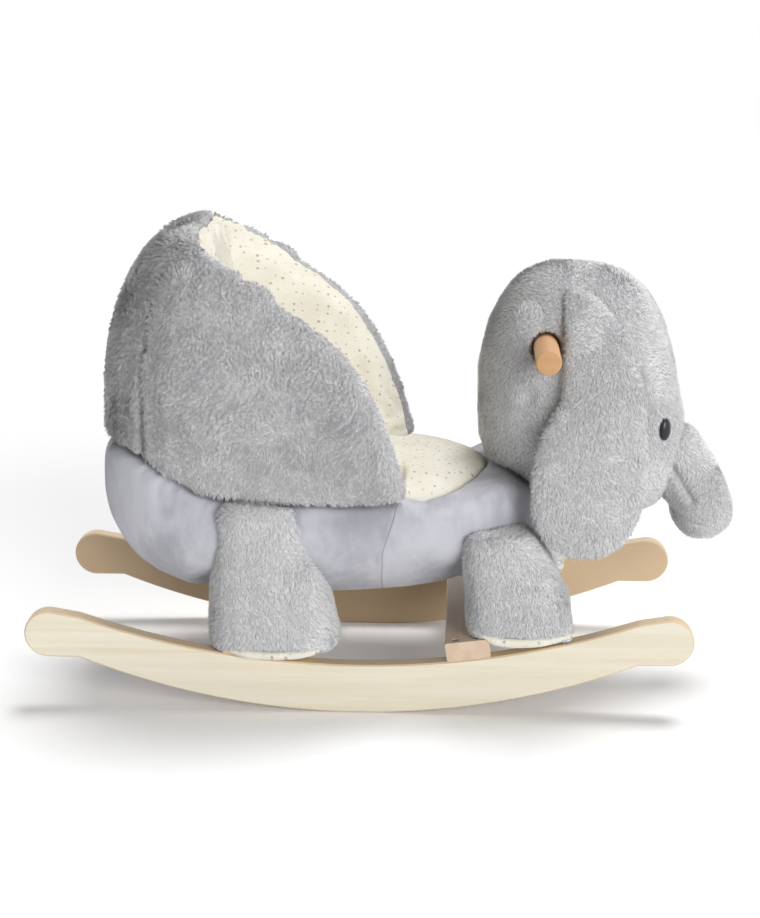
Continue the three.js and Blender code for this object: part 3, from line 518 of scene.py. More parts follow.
@dataclass(frozen=True)
class Timber:
    """Clear lacquered wood with its grain along one axis."""

    name: str
    cut: Cut
    pale: Colour
    deep: Colour
    edge: Colour
    grain: Colour = (1.0, 24.0, 24.0)
    fleck: float = 0.0
    ply: float = 1.5 * MM
    # Painted shade: the browner tint of the face that looks inwards, towards the other board.
    back: Colour = (0.62, 0.46, 0.29)
    board_half: float = 10 * MM
    relief: float = 0.15 * MM

    def material(self) -> bpy.types.Material:
        """Builds the material.

        Returns:
            The material.
        """
        graph = Graph(self.name)
        where = graph.place(self.grain)
        broad = graph.noise(where, scale=3.2, detail=4.0, rough=0.55)
        fine = graph.noise(where, scale=34.0, detail=3.0, rough=0.6)
        tone = broad.stepped(0.36, 0.66) * 0.7 + fine.stepped(0.4, 0.7) * 0.3
        colour = graph.mix(tone, self.pale, self.deep)
        if self.fleck > 0:
            pores = graph.noise(where, scale=130.0, detail=1.0).stepped(0.60, 0.70)
            colour = graph.mix(pores * self.fleck, colour, self.edge)
        if self.cut is Cut.PLY:
            colour = self._with_plies(graph, colour)
        if self.cut is Cut.DOWEL:
            colour = self._with_rings(graph, colour)
        graph.bumped(fine, self.relief, strength=0.5)
        return graph.finish(
            Base_Color=colour,
            Roughness=0.52 + fine * 0.12,
            Specular_IOR_Level=0.4,
            Coat_Weight=0.08,
            Coat_Roughness=0.35,
        )

    def _facing(self, graph: Graph) -> Wire:
        """How squarely the surface faces along Y, below nought where it faces the other way."""
        return graph.node("ShaderNodeSeparateXYZ", None, {0: graph.place_raw("Normal")}, "Y")

    def _with_plies(self, graph: Graph, colour: Wire) -> Wire:
        """Shows the plies on the sawn edge, and painted shade as a browner tint on the face that looks
        inwards.

        Args:
            graph: The material's graph.
            colour: The face's colour.

        Returns:
            The veneers on the faces, with painted shade on the inward face, and the plies on the edge.
        """
        depth = graph.node("ShaderNodeSeparateXYZ", None, {0: graph.place()}, "Y")
        layer = (depth / self.ply).folded(1.0).stepped(0.3, 0.7)
        dark = tuple(part * 0.80 for part in self.edge)
        worn = graph.noise(graph.place((8.0, 1.0, 8.0)), scale=30.0, detail=2.0)
        band = graph.mix(layer * (0.4 + worn * 0.6), self.edge, dark)
        line = graph.noise(graph.place((0.8, 1.0, 30.0)), scale=3.0, detail=2.0).stepped(0.60, 0.66)
        veneer = graph.mix(line * 0.3, colour, self.edge)
        facing = self._facing(graph)
        # Painted shade: the face that looks inwards takes the browner tint.
        painted_shade_inner_face = 1.0 - (depth * facing).stepped(-self.board_half, self.board_half)
        veneer = graph.mix(painted_shade_inner_face, veneer, graph.mix(line * 0.4, self.back, self.edge))
        return graph.mix(facing.size().stepped(0.75, 0.95), band, veneer)

    def _with_rings(self, graph: Graph, colour: Wire) -> Wire:
        """Shows growth rings on the dowel's ends.

        Args:
            graph: The material's graph.
            colour: The colour along the grain.

        Returns:
            The colour with end grain on the ends.
        """
        where = graph.place((1.0, 0.0, 0.6))
        rings = {"Vector": where, "Scale": 42.0, "Distortion": 1.2, "Detail": 1.0}
        ring = graph.node("ShaderNodeTexWave", {"bands_direction": "Z"}, rings)
        dark = tuple(part * 0.78 for part in self.edge)
        end = graph.mix(ring.stepped(0.1, 0.9) * 0.28, self.edge, dark)
        return graph.mix(self._facing(graph).size().stepped(0.8, 0.95), colour, end)


@dataclass(frozen=True)
class PlatedSteel:
    """Zinc-plated screws with a fine brushed grain."""

    name: str = "zinc_plate"
    colour: Colour = (0.52, 0.525, 0.53)
    tarnished: Colour = (0.36, 0.35, 0.33)
    relief: float = 0.05 * MM

    def material(self) -> bpy.types.Material:
        """Builds the material.

        Returns:
            The material.
        """
        graph = Graph(self.name)
        scratch = graph.noise(graph.place((1.0, 1.0, 6.0)), scale=900.0, detail=3.0, rough=0.6)
        tarnish = graph.noise(graph.place(), scale=300.0, detail=2.0)
        colour = graph.mix(tarnish.stepped(0.4, 0.7) * 0.5, self.colour, self.tarnished)
        graph.bumped(scratch, self.relief, strength=0.5)
        return graph.finish(Base_Color=colour, Metallic=1.0, Roughness=0.3 + scratch * 0.2)


@dataclass(frozen=True)
class EyeGloss:
    """Dark glossy plastic with faint flow marks."""

    name: str = "eye_plastic"
    colour: Colour = (0.014, 0.014, 0.02)
    flow: Colour = (0.03, 0.03, 0.04)
    relief: float = 0.03 * MM

    def material(self) -> bpy.types.Material:
        """Builds the material.

        Returns:
            The material.
        """
        graph = Graph(self.name)
        mark = graph.noise(graph.place(), scale=260.0, detail=2.0)
        colour = graph.mix(mark, self.colour, self.flow)
        graph.bumped(mark, self.relief, strength=0.3)
        return graph.finish(Base_Color=colour, Roughness=0.16 + mark * 0.08, Specular_IOR_Level=0.35)


# Mesh helpers


def read(items: Any, name: str, width: int, kind: type = np.int32) -> Array:
    """Reads one value of all the vertices, edges, loops or triangles of a mesh.

    Args:
        items: What is read.
        name: The value's name.
        width: How many numbers the value has.
        kind: The numbers' type.

    Returns:
        A row for each item.
    """
    values = np.empty(len(items) * width, kind)
    items.foreach_get(name, values)
    return values.reshape(-1, width)


def points_of(mesh: bpy.types.Mesh) -> Array:
    """The places of a mesh's vertices."""
    return read(mesh.vertices, "co", 3, np.float32).astype(float)


def move_points(mesh: bpy.types.Mesh, points: Array) -> None:
    """Puts a mesh's vertices at new places."""
    mesh.vertices.foreach_set("co", points.astype(np.float32).ravel())
    mesh.update()


def normals_of(mesh: bpy.types.Mesh) -> Array:
    """The directions in which a mesh's vertices face."""
    return read(mesh.vertex_normals, "vector", 3, np.float32).astype(float)


def unit(vectors: Array) -> Array:
    """The same directions, each with a length of one."""
    return vectors / np.maximum(np.linalg.norm(vectors, axis=1, keepdims=True), 1e-12)


def smooth(mesh: bpy.types.Mesh) -> None:
    """Shades a mesh as one smooth surface."""
    mesh.polygons.foreach_set("use_smooth", np.ones(len(mesh.polygons), bool))
    mesh.update()


def added(name: str, data: bpy.types.ID) -> bpy.types.Object:
    """Puts a mesh, a lamp or a camera in the scene as an object at the origin.

    Args:
        name: The object's name.
        data: The mesh, the lamp or the camera.

    Returns:
        The object.
    """
    piece = bpy.data.objects.new(name, data)
    bpy.context.scene.collection.objects.link(piece)
    return piece


def from_bmesh(name: str, form: bmesh.types.BMesh) -> bpy.types.Object:
    """Makes an object of a bmesh and frees it.

    Args:
        name: The object's name.
        form: The bmesh.

    Returns:
        The object.
    """
    mesh = bpy.data.meshes.new(name)
    form.to_mesh(mesh)
    form.free()
    return added(name, mesh)


def with_modifier(piece: bpy.types.Object, kind: str, **settings: Any) -> None:
    """Adds a modifier and applies it at once.

    Args:
        piece: The object.
        kind: The modifier's type.
        settings: Its properties.
    """
    modifier = piece.modifiers.new(kind.lower(), kind)
    for name, value in settings.items():
        setattr(modifier, name, value)
    bake_modifiers(piece)


def bake_modifiers(piece: bpy.types.Object) -> None:
    """Turns what the modifiers make into the piece's own mesh.

    Args:
        piece: The object.
    """
    graph = bpy.context.evaluated_depsgraph_get()
    made = bpy.data.meshes.new_from_object(piece.evaluated_get(graph))
    old = piece.data
    piece.modifiers.clear()
    piece.data = made
    bpy.data.meshes.remove(old)


def dress(piece: bpy.types.Object, material: bpy.types.Material) -> None:
    """Gives a piece one material all over."""
    piece.data.materials.clear()
    piece.data.materials.append(material)


def smooth_by_angle(piece: bpy.types.Object, angle: float = math.radians(35)) -> None:
    """Shades a piece smooth, with its sharp edges kept."""
    smooth(piece.data)
    piece.data.set_sharp_from_angle(angle=angle)


def stand_in(piece: bpy.types.Object, node: str, material: bpy.types.Material) -> None:
    """Finishes a hard piece that takes its solid's place on the toy's body.

    Args:
        piece: The piece.
        node: The node that it stands for.
        material: What it is made of.
    """
    dress(piece, material)
    smooth_by_angle(piece)
    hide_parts(node)
    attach(piece, Body.TOY.value)


def along_line(points: Array) -> tuple[Array, Array, Array, Array]:
    """Measures a round piece along its own line, the longest way through its points.

    Args:
        points: The places of its vertices.

    Returns:
        The middle, the line's direction, and how far each point lies along the line and away from it.
    """
    middle = points.mean(axis=0)
    line = np.linalg.svd(points - middle)[2][0]
    along = (points - middle) @ line
    away = np.linalg.norm(points - middle - np.outer(along, line), axis=1)
    return middle, line, along, away


class Drift:
    """A smooth field of directions and values made of a few waves, the same on each run."""

    def __init__(self, seed: int, wavelength: float, waves: int = 9) -> None:
        """Draws the waves.

        Args:
            seed: What the waves are drawn from.
            wavelength: Their middle length, in metres.
            waves: How many there are.
        """
        draw = np.random.default_rng(seed)
        ways = unit(draw.normal(size=(waves, 3)))
        self.rates = ways * math.tau / (wavelength * draw.uniform(0.6, 1.7, (waves, 1)))
        self.phases = draw.uniform(0, math.tau, waves)
        self.pushes = draw.normal(size=(waves, 3)) / math.sqrt(waves / 2)

    def vectors(self, points: Array) -> Array:
        """A direction at each point."""
        return np.sin(points @ self.rates.T + self.phases) @ self.pushes

    def values(self, points: Array) -> Array:
        """A value at each point, mostly between minus one and one."""
        return self.vectors(points)[:, 0]


# Sewn forms


@dataclass(frozen=True)
class Hem:
    """A level edge at which the fur is cut short: its height and how far up it reaches."""

    height: float
    width: float = 6.0 * MM
    shear: float = 0.5

    def closeness(self, points: Array) -> Array:
        """How near each point lies, from nought at the hem's width to one on its edge."""
        return np.clip(1 - (points[:, 2] - self.height) / self.width, 0, 1)


@dataclass(frozen=True)
class Brushing:
    """An upright seam on each side of the seat's corner, which the fur is brushed across above a height."""

    corner: tuple[float, float]
    angle: float
    height: float
    rise: float = 60.0 * MM
    reach: float = 12.0 * MM
    full_share: float = 0.3
    strength: float = 2.4

    def pull(self, points: Array) -> Array:
        """The way towards the seam at each point.

        Args:
            points: The tufts' roots.

        Returns:
            A pull at each point, which is nought away from the seam and below it.
        """
        side = np.sign(points[:, 1])
        across = np.stack([np.full(len(points), math.cos(self.angle)), side * math.sin(self.angle)], axis=1)
        start = np.stack([np.full(len(points), self.corner[0]), side * self.corner[1]], axis=1)
        away = ((points[:, :2] - start) * across).sum(axis=1)
        near = np.clip(1 + self.full_share - np.abs(away) / self.reach, 0, 1)
        high = np.clip((points[:, 2] - self.height) / self.rise, 0, 1)
        toward = -np.sign(away) * near * high * self.strength
        return np.column_stack([across * toward[:, None], np.zeros(len(points))])


@dataclass(frozen=True)
class Dent:
    """A round hollow drawn into the stuffing by a stitch or by a piece that goes through."""

    centre: tuple[float, float, float]
    radius: float
    depth: float

    def closeness(self, points: Array) -> Array:
        """How near each point lies, from nought far off to one at the middle."""
        away = np.linalg.norm(points - np.array(self.centre), axis=1) / self.radius
        return np.exp(-away * away)


@dataclass(frozen=True)
class Pull:
    """A place where the sewing draws the skin one way."""

    centre: tuple[float, float, float]
    reach: float
    way: tuple[float, float, float]

    def moved(self, points: Array) -> Array:
        """How far each point is drawn."""
        away = np.linalg.norm(points - np.array(self.centre), axis=1) / self.reach
        return np.exp(-away * away)[:, None] * np.array(self.way)


@dataclass(frozen=True)
class Rim:
    """The roll of fur that stands up beside a lining's edge."""

    linings: tuple[str, ...]
    height: float = 6.0 * MM
    reach: float = 12.0 * MM
    start: float = -190.0 * MM
    fade: float = 60.0 * MM

    def closeness(self, points: Array) -> Array:
        """How near each point lies to the lining.

        Args:
            points: The places of the points.

        Returns:
            From nought at the reach to one at the lining.
        """
        tree = tree_of(self.linings)
        away = np.fromiter((tree.find_nearest(Vector(point))[3] for point in points), float, len(points))
        grown = np.clip((points[:, 0] - self.start) / self.fade, 0, 1)
        return np.clip(1 - away / self.reach, 0, 1) * grown


@dataclass(frozen=True)
class Seam:
    """A sewn line on the fur, seen from the side: places along X and Z, in metres."""

    route: tuple[tuple[float, float], ...]
    width: float = 5.0 * MM
    depth: float = 2.2 * MM
    shear: float = 0.9

    def closeness(self, points: Array) -> Array:
        """How near each point lies to the line.

        Args:
            points: The places of the points.

        Returns:
            From nought at the seam's width to one on its line.
        """
        flat = points[:, [0, 2]]
        least = np.full(len(points), np.inf)
        for start, end in zip(self.route, self.route[1:]):
            a, b = np.array(start), np.array(end)
            share = np.clip((flat - a) @ (b - a) / ((b - a) @ (b - a)), 0, 1)
            away = np.linalg.norm(flat - a - share[:, None] * (b - a), axis=1)
            least = np.minimum(least, away)
        return np.clip(1 - least / self.width, 0, 1)


@dataclass(frozen=True)
class ClothRun:
    """The short cloth run that puffs a skin."""

    quality: int = 5
    mass: float = 0.25
    stiffness: float = 18.0
    bending: float = 0.6
    frames: int = 20

    def play(self, piece: bpy.types.Object, pressure: float) -> None:
        """Swells a skin by pressure and keeps the last frame's shape.

        Args:
            piece: The skin.
            pressure: The pressure inside it.
        """
        modifier = piece.modifiers.new("cloth", "CLOTH")
        settings = modifier.settings
        settings.quality = self.quality
        settings.mass = self.mass
        settings.tension_stiffness = self.stiffness
        settings.compression_stiffness = self.stiffness
        settings.bending_stiffness = self.bending
        settings.use_pressure = True
        settings.uniform_pressure_force = pressure
        settings.effector_weights.gravity = 0
        modifier.point_cache.frame_start = 1
        modifier.point_cache.frame_end = self.frames
        for number in range(1, self.frames + 1):
            bpy.context.scene.frame_set(number)
        bake_modifiers(piece)
        bpy.context.scene.frame_set(1)


@dataclass
class SewnForm:
    """A stuffed piece: its solid's own shape, worked into one smooth closed skin."""

    node: str
    slot: str
    body: Body = Body.TOY
    voxel: float = 5 * MM
    rounds: int = 40
    swell: float = 0.0
    pressure: float = 0.0
    cap: float = 8 * MM
    relief: float = 0.0
    relief_length: float = 90 * MM
    step_in: float = 0.5
    step_out: float = 0.515
    double_distance: float = 0.01 * MM
    hollow_power: float = 1.5
    fill: float = 0.8
    cloth: ClothRun = ClothRun()
    hollows: Sequence[Union[Seam, Dent]] = ()
    pulls: Sequence[Pull] = ()
    rim: Optional[Rim] = None

    def build(self, material: bpy.types.Material) -> bpy.types.Object:
        """Args:
            material: What its skin is made of.

        Returns:
            The piece.
        """
        piece = self.blank()
        self.settle(piece.data)
        if self.pressure > 0:
            self.puff(piece)
        with_modifier(piece, "SUBSURF", levels=1, render_levels=1)
        self.swell_out(piece.data)
        smooth(piece.data)
        dress(piece, material)
        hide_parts(self.node)
        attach(piece, self.body.value)
        log.info("%s: %d faces", piece.name, len(piece.data.polygons))
        return piece

    def blank(self) -> bpy.types.Object:
        """Merges the doubles of the solid's mesh and remeshes it to even squares.

        Returns:
            The skin, with facets still.
        """
        form = bmesh.new()
        form.from_mesh(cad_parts[self.node].data)
        bmesh.ops.remove_doubles(form, verts=form.verts, dist=self.double_distance)
        piece = from_bmesh(f"{self.node}_skin", form)
        with_modifier(piece, "REMESH", mode="VOXEL", voxel_size=self.voxel, use_smooth_shade=True)
        return piece

    def settle(self, mesh: bpy.types.Mesh) -> None:
        """Smooths the facets away and keeps the size, in rounds of a step in and a step out.

        Args:
            mesh: The skin's mesh.
        """
        first, second = read(mesh.edges, "vertices", 2).T
        count = len(mesh.vertices)
        ends = np.concatenate([first, second])
        others = np.concatenate([second, first])
        degree = np.bincount(ends, minlength=count)[:, None]
        points = points_of(mesh)
        for turn in range(self.rounds * 2):
            share = self.step_in if turn % 2 == 0 else -self.step_out
            sums = [np.bincount(ends, points[others, axis], count) for axis in range(3)]
            points += share * (np.stack(sums, axis=1) / degree - points)
        move_points(mesh, points)

    def puff(self, piece: bpy.types.Object) -> None:
        """Lets pressure swell the skin as cloth, and caps how far a point may move.

        Args:
            piece: The skin.
        """
        start = points_of(piece.data)
        self.cloth.play(piece, self.pressure)
        moved = points_of(piece.data) - start
        far = np.linalg.norm(moved, axis=1, keepdims=True)
        move_points(piece.data, start + moved * np.minimum(1, self.cap / np.maximum(far, 1e-9)))

    def swell_out(self, mesh: bpy.types.Mesh) -> None:
        """Pushes the skin out, with the shallow dents of hand stuffing.

        Args:
            mesh: The skin's mesh.
        """
        points = points_of(mesh)
        dents = Drift(len(self.node), self.relief_length).values(points)
        push = self.swell + self.relief * dents
        for hollow in self.hollows:
            push = push - hollow.depth * hollow.closeness(points) ** self.hollow_power
        if self.rim is not None:
            push = push + self.rim.height * self.rim.closeness(points)
        drawn = sum((pull.moved(points) for pull in self.pulls), np.zeros_like(points))
        move_points(mesh, points + normals_of(mesh) * push[:, None] + drawn)


# Fur


@dataclass(frozen=True)
class Pile:
    """The size, spread and lie of one fur's tufts.

    The rise is the lean away from upright, and values named shag hold for the shaggy top of a fur.
    """

    length: float = 5.2 * MM
    lengths: tuple[float, float] = (0.75, 1.2)
    width: float = 1.0 * MM
    widths: tuple[float, float] = (0.75, 1.25)
    area: float = 2.2 * MM * MM
    sunk: float = 0.6 * MM
    clearance: float = 2.0 * MM
    shortest: float = 0.12
    rise: float = math.radians(52)
    rise_spread: float = 0.16
    clump: float = 3.8 * MM
    gather: float = 0.3
    wander: float = 0.45
    tousle: float = 0.22
    stray: float = 0.7
    swirl: float = 60 * MM
    patch: float = 30 * MM
    patch_length: float = 0.12
    droop: tuple[float, float, float] = (0.0, 0.0, -1.0)
    rim_length: float = 0.45
    rim_rise: float = 0.35
    shag_height: float = 1.0
    shag_band: float = 90 * MM
    shag_length: float = 0.35
    shag_tousle: float = 1.2
    shag_gather: float = 0.6
    clump_shade: float = 0.7
    soft_lean: float = 0.25
    soft_round: float = 0.45
    soft_spread: float = 0.12


class Fur:
    """Real tufts planted on a skin, each a slim closed spike."""

    patch_seed: int = 50
    bare_slope: float = 1.6
    spike_faces: tuple[int, ...] = (0, 1, 3, 1, 2, 3, 2, 0, 3)

    def __init__(
        self, pile: Pile, seed: int, brushing: Optional[Brushing] = None, rim: Optional[Rim] = None
    ) -> None:
        """Keeps the pile and draws its fields.

        Args:
            pile: The pile's sizes.
            seed: What all its chances are drawn from.
            brushing: Where the fur is brushed across a seam.
            rim: The edge along which the fur stands up.
        """
        self.pile = pile
        self.brushing = brushing
        self.rim = rim
        self.draw = np.random.default_rng(seed)
        self.swirl = Drift(seed, pile.swirl)
        self.patch = Drift(seed + self.patch_seed, pile.patch)

    def plant(
        self,
        skin: bpy.types.Object,
        hidden_by: Optional[BVHTree],
        seams: Sequence[Union[Seam, Hem]] = (),
        bare: Sequence[tuple[Vector, float]] = (),
    ) -> bpy.types.Object:
        """Plants the pile on a skin.

        Args:
            skin: The skin, in its final shape.
            hidden_by: What lies against the skin, where no tuft is planted.
            seams: The sewn lines and hems, where the tufts are short.
            bare: Round places that stay clear, each with its radius.

        Returns:
            The pile as one piece.
        """
        roots, facing = self._roots(skin.data)
        if hidden_by is not None:
            seen = self._seen(roots, facing, hidden_by)
            roots, facing = roots[seen], facing[seen]
        trim = self._trim(roots, seams, bare)
        kept = trim > self.pile.shortest
        roots, facing, trim = roots[kept], facing[kept], trim[kept]
        lie = self._lie(roots, facing)
        centres, owner = self._clumps(roots)
        return self._spikes(skin, roots, facing, lie, centres, owner, trim)

    def _roots(self, mesh: bpy.types.Mesh) -> tuple[Array, Array]:
        """Spreads the roots evenly over the skin's triangles.

        Args:
            mesh: The skin's mesh.

        Returns:
            The roots, and the way that the skin faces at each.
        """
        mesh.calc_loop_triangles()
        corners = read(mesh.loop_triangles, "vertices", 3)
        points, normals = points_of(mesh), normals_of(mesh)
        a, b, c = (points[corners[:, i]] for i in range(3))
        areas = np.linalg.norm(np.cross(b - a, c - a), axis=1) / 2
        count = int(areas.sum() / self.pile.area)
        reach = (np.arange(count) + self.draw.uniform(0, 1, count)) / count * areas.sum()
        chosen = np.minimum(np.searchsorted(np.cumsum(areas), reach), len(areas) - 1)
        u, v = self.draw.uniform(0, 1, (2, count))
        flip = u + v > 1
        u, v = np.where(flip, 1 - u, u), np.where(flip, 1 - v, v)
        shares = np.stack([1 - u - v, u, v], axis=1)[:, :, None]
        roots = (points[corners[chosen]] * shares).sum(axis=1)
        facing = unit((normals[corners[chosen]] * shares).sum(axis=1))
        return roots, facing

    def _seen(self, roots: Array, facing: Array, tree: BVHTree) -> Array:
        """Which roots have no other solid just over them."""
        above = roots + facing * self.pile.clearance
        return np.fromiter((not covered(tree, Vector(point)) for point in above), bool, len(roots))

    def _trim(
        self, roots: Array, seams: Sequence[Union[Seam, Hem]], bare: Sequence[tuple[Vector, float]]
    ) -> Array:
        """How much of its length each tuft keeps beside seams and bare places.

        Args:
            roots: The tufts' roots.
            seams: The sewn lines and hems.
            bare: Round places that stay clear, each with its radius.

        Returns:
            A share of the length for each tuft.
        """
        trim = np.ones(len(roots))
        for seam in seams:
            trim = np.minimum(trim, 1 - seam.shear * seam.closeness(roots))
        for centre, radius in bare:
            away = np.linalg.norm(roots - np.array(centre), axis=1) / radius
            trim = np.minimum(trim, np.clip((away - 1) * self.bare_slope, 0, 1))
        return trim

    def _lie(self, roots: Array, facing: Array) -> Array:
        """The way that each tuft is combed, along the skin.

        Args:
            roots: The tufts' roots.
            facing: The way that the skin faces at each.

        Returns:
            A direction for each tuft.
        """
        pull = np.array(self.pile.droop) + self.swirl.vectors(roots) * self.pile.wander
        if self.brushing is not None:
            pull = pull + self.brushing.pull(roots)
        along = pull - facing * (pull * facing).sum(axis=1, keepdims=True)
        return unit(along)

    def _clumps(self, roots: Array) -> tuple[Array, Array]:
        """Groups the roots round clump centres.

        Args:
            roots: The tufts' roots.

        Returns:
            The clumps' centres, and the number of each tuft's clump.
        """
        wanted = max(1, int(len(roots) * self.pile.area / self.pile.clump**2))
        centres = roots[self.draw.choice(len(roots), wanted, replace=False)]
        tree = KDTree(wanted)
        for number, centre in enumerate(centres):
            tree.insert(centre, number)
        tree.balance()
        owner = np.fromiter((tree.find(p)[1] for p in roots), int, len(roots))
        return centres, owner

    def _spikes(
        self,
        skin: bpy.types.Object,
        roots: Array,
        facing: Array,
        lie: Array,
        centres: Array,
        owner: Array,
        trim: Array,
    ) -> bpy.types.Object:
        """Makes the spikes: three root corners and a tip, leant over and drawn to their clump.

        Args:
            skin: The skin that the pile is named for.
            roots: The tufts' roots.
            facing: The way that the skin faces at each root.
            lie: The way that each tuft is combed.
            centres: The clumps' centres.
            owner: The number of each tuft's clump.
            trim: The share of its length that each tuft keeps.

        Returns:
            The pile.
        """
        pile, draw, count = self.pile, self.draw, len(roots)
        shag = np.clip((roots[:, 2] - pile.shag_height) / pile.shag_band, 0, 1)
        loose = (pile.tousle * (1 + pile.shag_tousle * shag))[:, None]
        tilt = draw.normal(0, 1, (len(centres), 3))[owner] * loose
        tilt = tilt + draw.normal(0, pile.stray, (count, 3)) * loose
        comb = unit(lie + tilt - facing * (tilt * facing).sum(axis=1, keepdims=True))
        upright = self.rim.closeness(roots) if self.rim is not None else np.zeros(count)
        lengths = pile.length * draw.uniform(*pile.lengths, count) * trim
        lengths *= 1 + pile.patch_length * self.patch.values(roots)
        lengths *= (1 + pile.shag_length * shag) * (1 - pile.rim_length * upright)
        rise = pile.rise * (1 - pile.rim_rise * upright) + draw.normal(0, pile.rise_spread, count)
        rise = rise[:, None]
        way = facing * np.cos(rise) + comb * np.sin(rise)
        tip = roots + way * lengths[:, None]
        centre_tip = np.zeros_like(centres)
        np.add.at(centre_tip, owner, tip)
        centre_tip /= np.maximum(np.bincount(owner, minlength=len(centres)), 1)[:, None]
        tip += (centre_tip[owner] - tip) * (pile.gather * (1 + shag * pile.shag_gather))[:, None]
        way = unit(tip - roots)
        across = unit(np.cross(way, facing))
        over = np.cross(way, across)
        half = (pile.width / 2 * draw.uniform(*pile.widths, count))[:, None]
        sunk = roots - facing * pile.sunk
        turns = draw.uniform(0, math.tau, count)[:, None]
        angles = [turns + number * math.tau / 3 for number in range(3)]
        sides = [across * np.cos(angle) + over * np.sin(angle) for angle in angles]
        rows = np.stack([sunk + side * half for side in sides] + [tip], axis=1)
        faces = (np.arange(count)[:, None] * rows.shape[1] + np.array(self.spike_faces)).reshape(-1, 3)
        mesh = bpy.data.meshes.new(skin.name.replace("_skin", "_pile"))
        mesh.from_pydata(rows.reshape(-1, 3), [], faces)
        self._mark(mesh, facing, way, np.stack(sides, axis=1), owner)
        return added(mesh.name, mesh)

    def _mark(self, mesh: bpy.types.Mesh, facing: Array, way: Array, sides: Array, owner: Array) -> None:
        """Gives the spikes their soft shading and their point values.

        Args:
            mesh: The pile's mesh.
            facing: The way that the skin faces at each root.
            way: The way that each spike points.
            sides: The ways from each spike's middle to its root corners.
            owner: The number of each tuft's clump.
        """
        pile, count = self.pile, len(facing)
        smooth(mesh)
        soft = facing + way * pile.soft_lean + self.draw.normal(0, pile.soft_spread, (count, 3))
        corners = soft[:, None, :] + sides * pile.soft_round
        normals = np.concatenate([corners, soft[:, None, :]], axis=1).reshape(-1, 3)
        mesh.normals_split_custom_set_from_vertices(unit(normals))
        clump = self.draw.uniform(0, 1, owner.max() + 1)[owner] * pile.clump_shade
        shade = np.clip(clump + self.draw.uniform(0, 1, count) * (1 - pile.clump_shade), 0, 1)
        rows = {"rise": np.tile([0.0, 0.0, 0.0, 1.0], count), "shade": np.repeat(shade, 4)}
        for name, values in rows.items():
            layer = mesh.attributes.new(name, "FLOAT", "POINT")
            layer.data.foreach_set("value", values.astype(np.float32))


def covered(tree: BVHTree, point: Vector, depth: float = 8 * MM) -> bool:
    """Whether a point lies just under the skin of a search tree's closed solids.

    Args:
        tree: The solids.
        point: The point.
        depth: How far under their skin counts.

    Returns:
        Whether it is covered.
    """
    place, normal, _, away = tree.find_nearest(point)
    return away < depth and (point - place).dot(normal) < -COVERED_SHARE * away


def tree_of(names: Sequence[str]) -> Optional[BVHTree]:
    """One search tree of several solids.

    Args:
        names: The nodes.

    Returns:
        The tree, or None without a name.
    """
    if not names:
        return None
    form = bmesh.new()
    for name in names:
        form.from_mesh(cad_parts[name].data)
    tree = BVHTree.FromBMesh(form)
    form.free()
    return tree


# The toy's own assemblies


@dataclass
class Woodwork:
    """The rockers, the slats, the frame's boards and posts, and the dowel's inside."""

    birch: Timber = Timber(
        "birch_plywood",
        Cut.PLY,
        pale=(0.81, 0.755, 0.625),
        deep=(0.75, 0.68, 0.52),
        edge=(0.72, 0.555, 0.36),
    )
    beech: Timber = Timber(
        "beech_slat",
        Cut.SLAT,
        pale=(0.71, 0.56, 0.42),
        deep=(0.63, 0.46, 0.33),
        edge=(0.40, 0.24, 0.15),
        grain=(24.0, 1.0, 24.0),
        fleck=0.5,
    )
    post: Timber = Timber(
        "beech_post",
        Cut.SLAT,
        pale=(0.76, 0.60, 0.45),
        deep=(0.69, 0.50, 0.36),
        edge=(0.42, 0.26, 0.16),
        grain=(24.0, 24.0, 1.0),
        fleck=0.5,
    )

    def dress(self) -> None:
        """Gives each wooden node its material."""
        materials = {kind.name: kind.material() for kind in (self.birch, self.beech, self.post)}
        for name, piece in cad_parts.items():
            if name.startswith("rocker") or "board" in name:
                dress(piece, materials[self.birch.name])
            elif name.endswith("slat"):
                dress(piece, materials[self.beech.name])
            elif "_post_" in name or name == "neck_block":
                dress(piece, materials[self.post.name])
        log.info("woodwork dressed")


@dataclass
class Dowel:
    """The beech dowel that a child holds on to."""

    chamfer: float = 2 * MM
    chamfer_steps: int = 4
    sides: int = 64
    finish: Timber = Timber(
        "handle_beech",
        Cut.DOWEL,
        pale=(0.66, 0.39, 0.20),
        deep=(0.57, 0.31, 0.145),
        edge=(0.60, 0.34, 0.16),
        grain=(24.0, 1.0, 24.0),
        fleck=0.45,
    )

    def build(self) -> None:
        """Makes the dowel, with its ends chamfered, over its solid."""
        low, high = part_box("handle_dowel")
        radius, length = (high.x - low.x) / 2, high.y - low.y
        form = bmesh.new()
        bmesh.ops.create_cone(
            form, cap_ends=True, segments=self.sides, radius1=radius, radius2=radius, depth=length
        )
        rims = [edge for edge in form.edges if abs(edge.verts[0].co.z - edge.verts[1].co.z) < radius / 2]
        bmesh.ops.bevel(
            form,
            geom=rims,
            offset=self.chamfer,
            offset_type="OFFSET",
            affect="EDGES",
            segments=self.chamfer_steps,
            profile=0.5,
            material=-1,
        )
        turn = Matrix.Rotation(math.pi / 2, 4, "X")
        place = Matrix.Translation((low + high) / 2) @ turn
        bmesh.ops.transform(form, matrix=place, verts=form.verts)
        bmesh.ops.recalc_face_normals(form, faces=form.faces)
        piece = from_bmesh("handle_grip", form)
        stand_in(piece, "handle_dowel", self.finish.material())
        log.info("%s: %d faces", piece.name, len(piece.data.polygons))


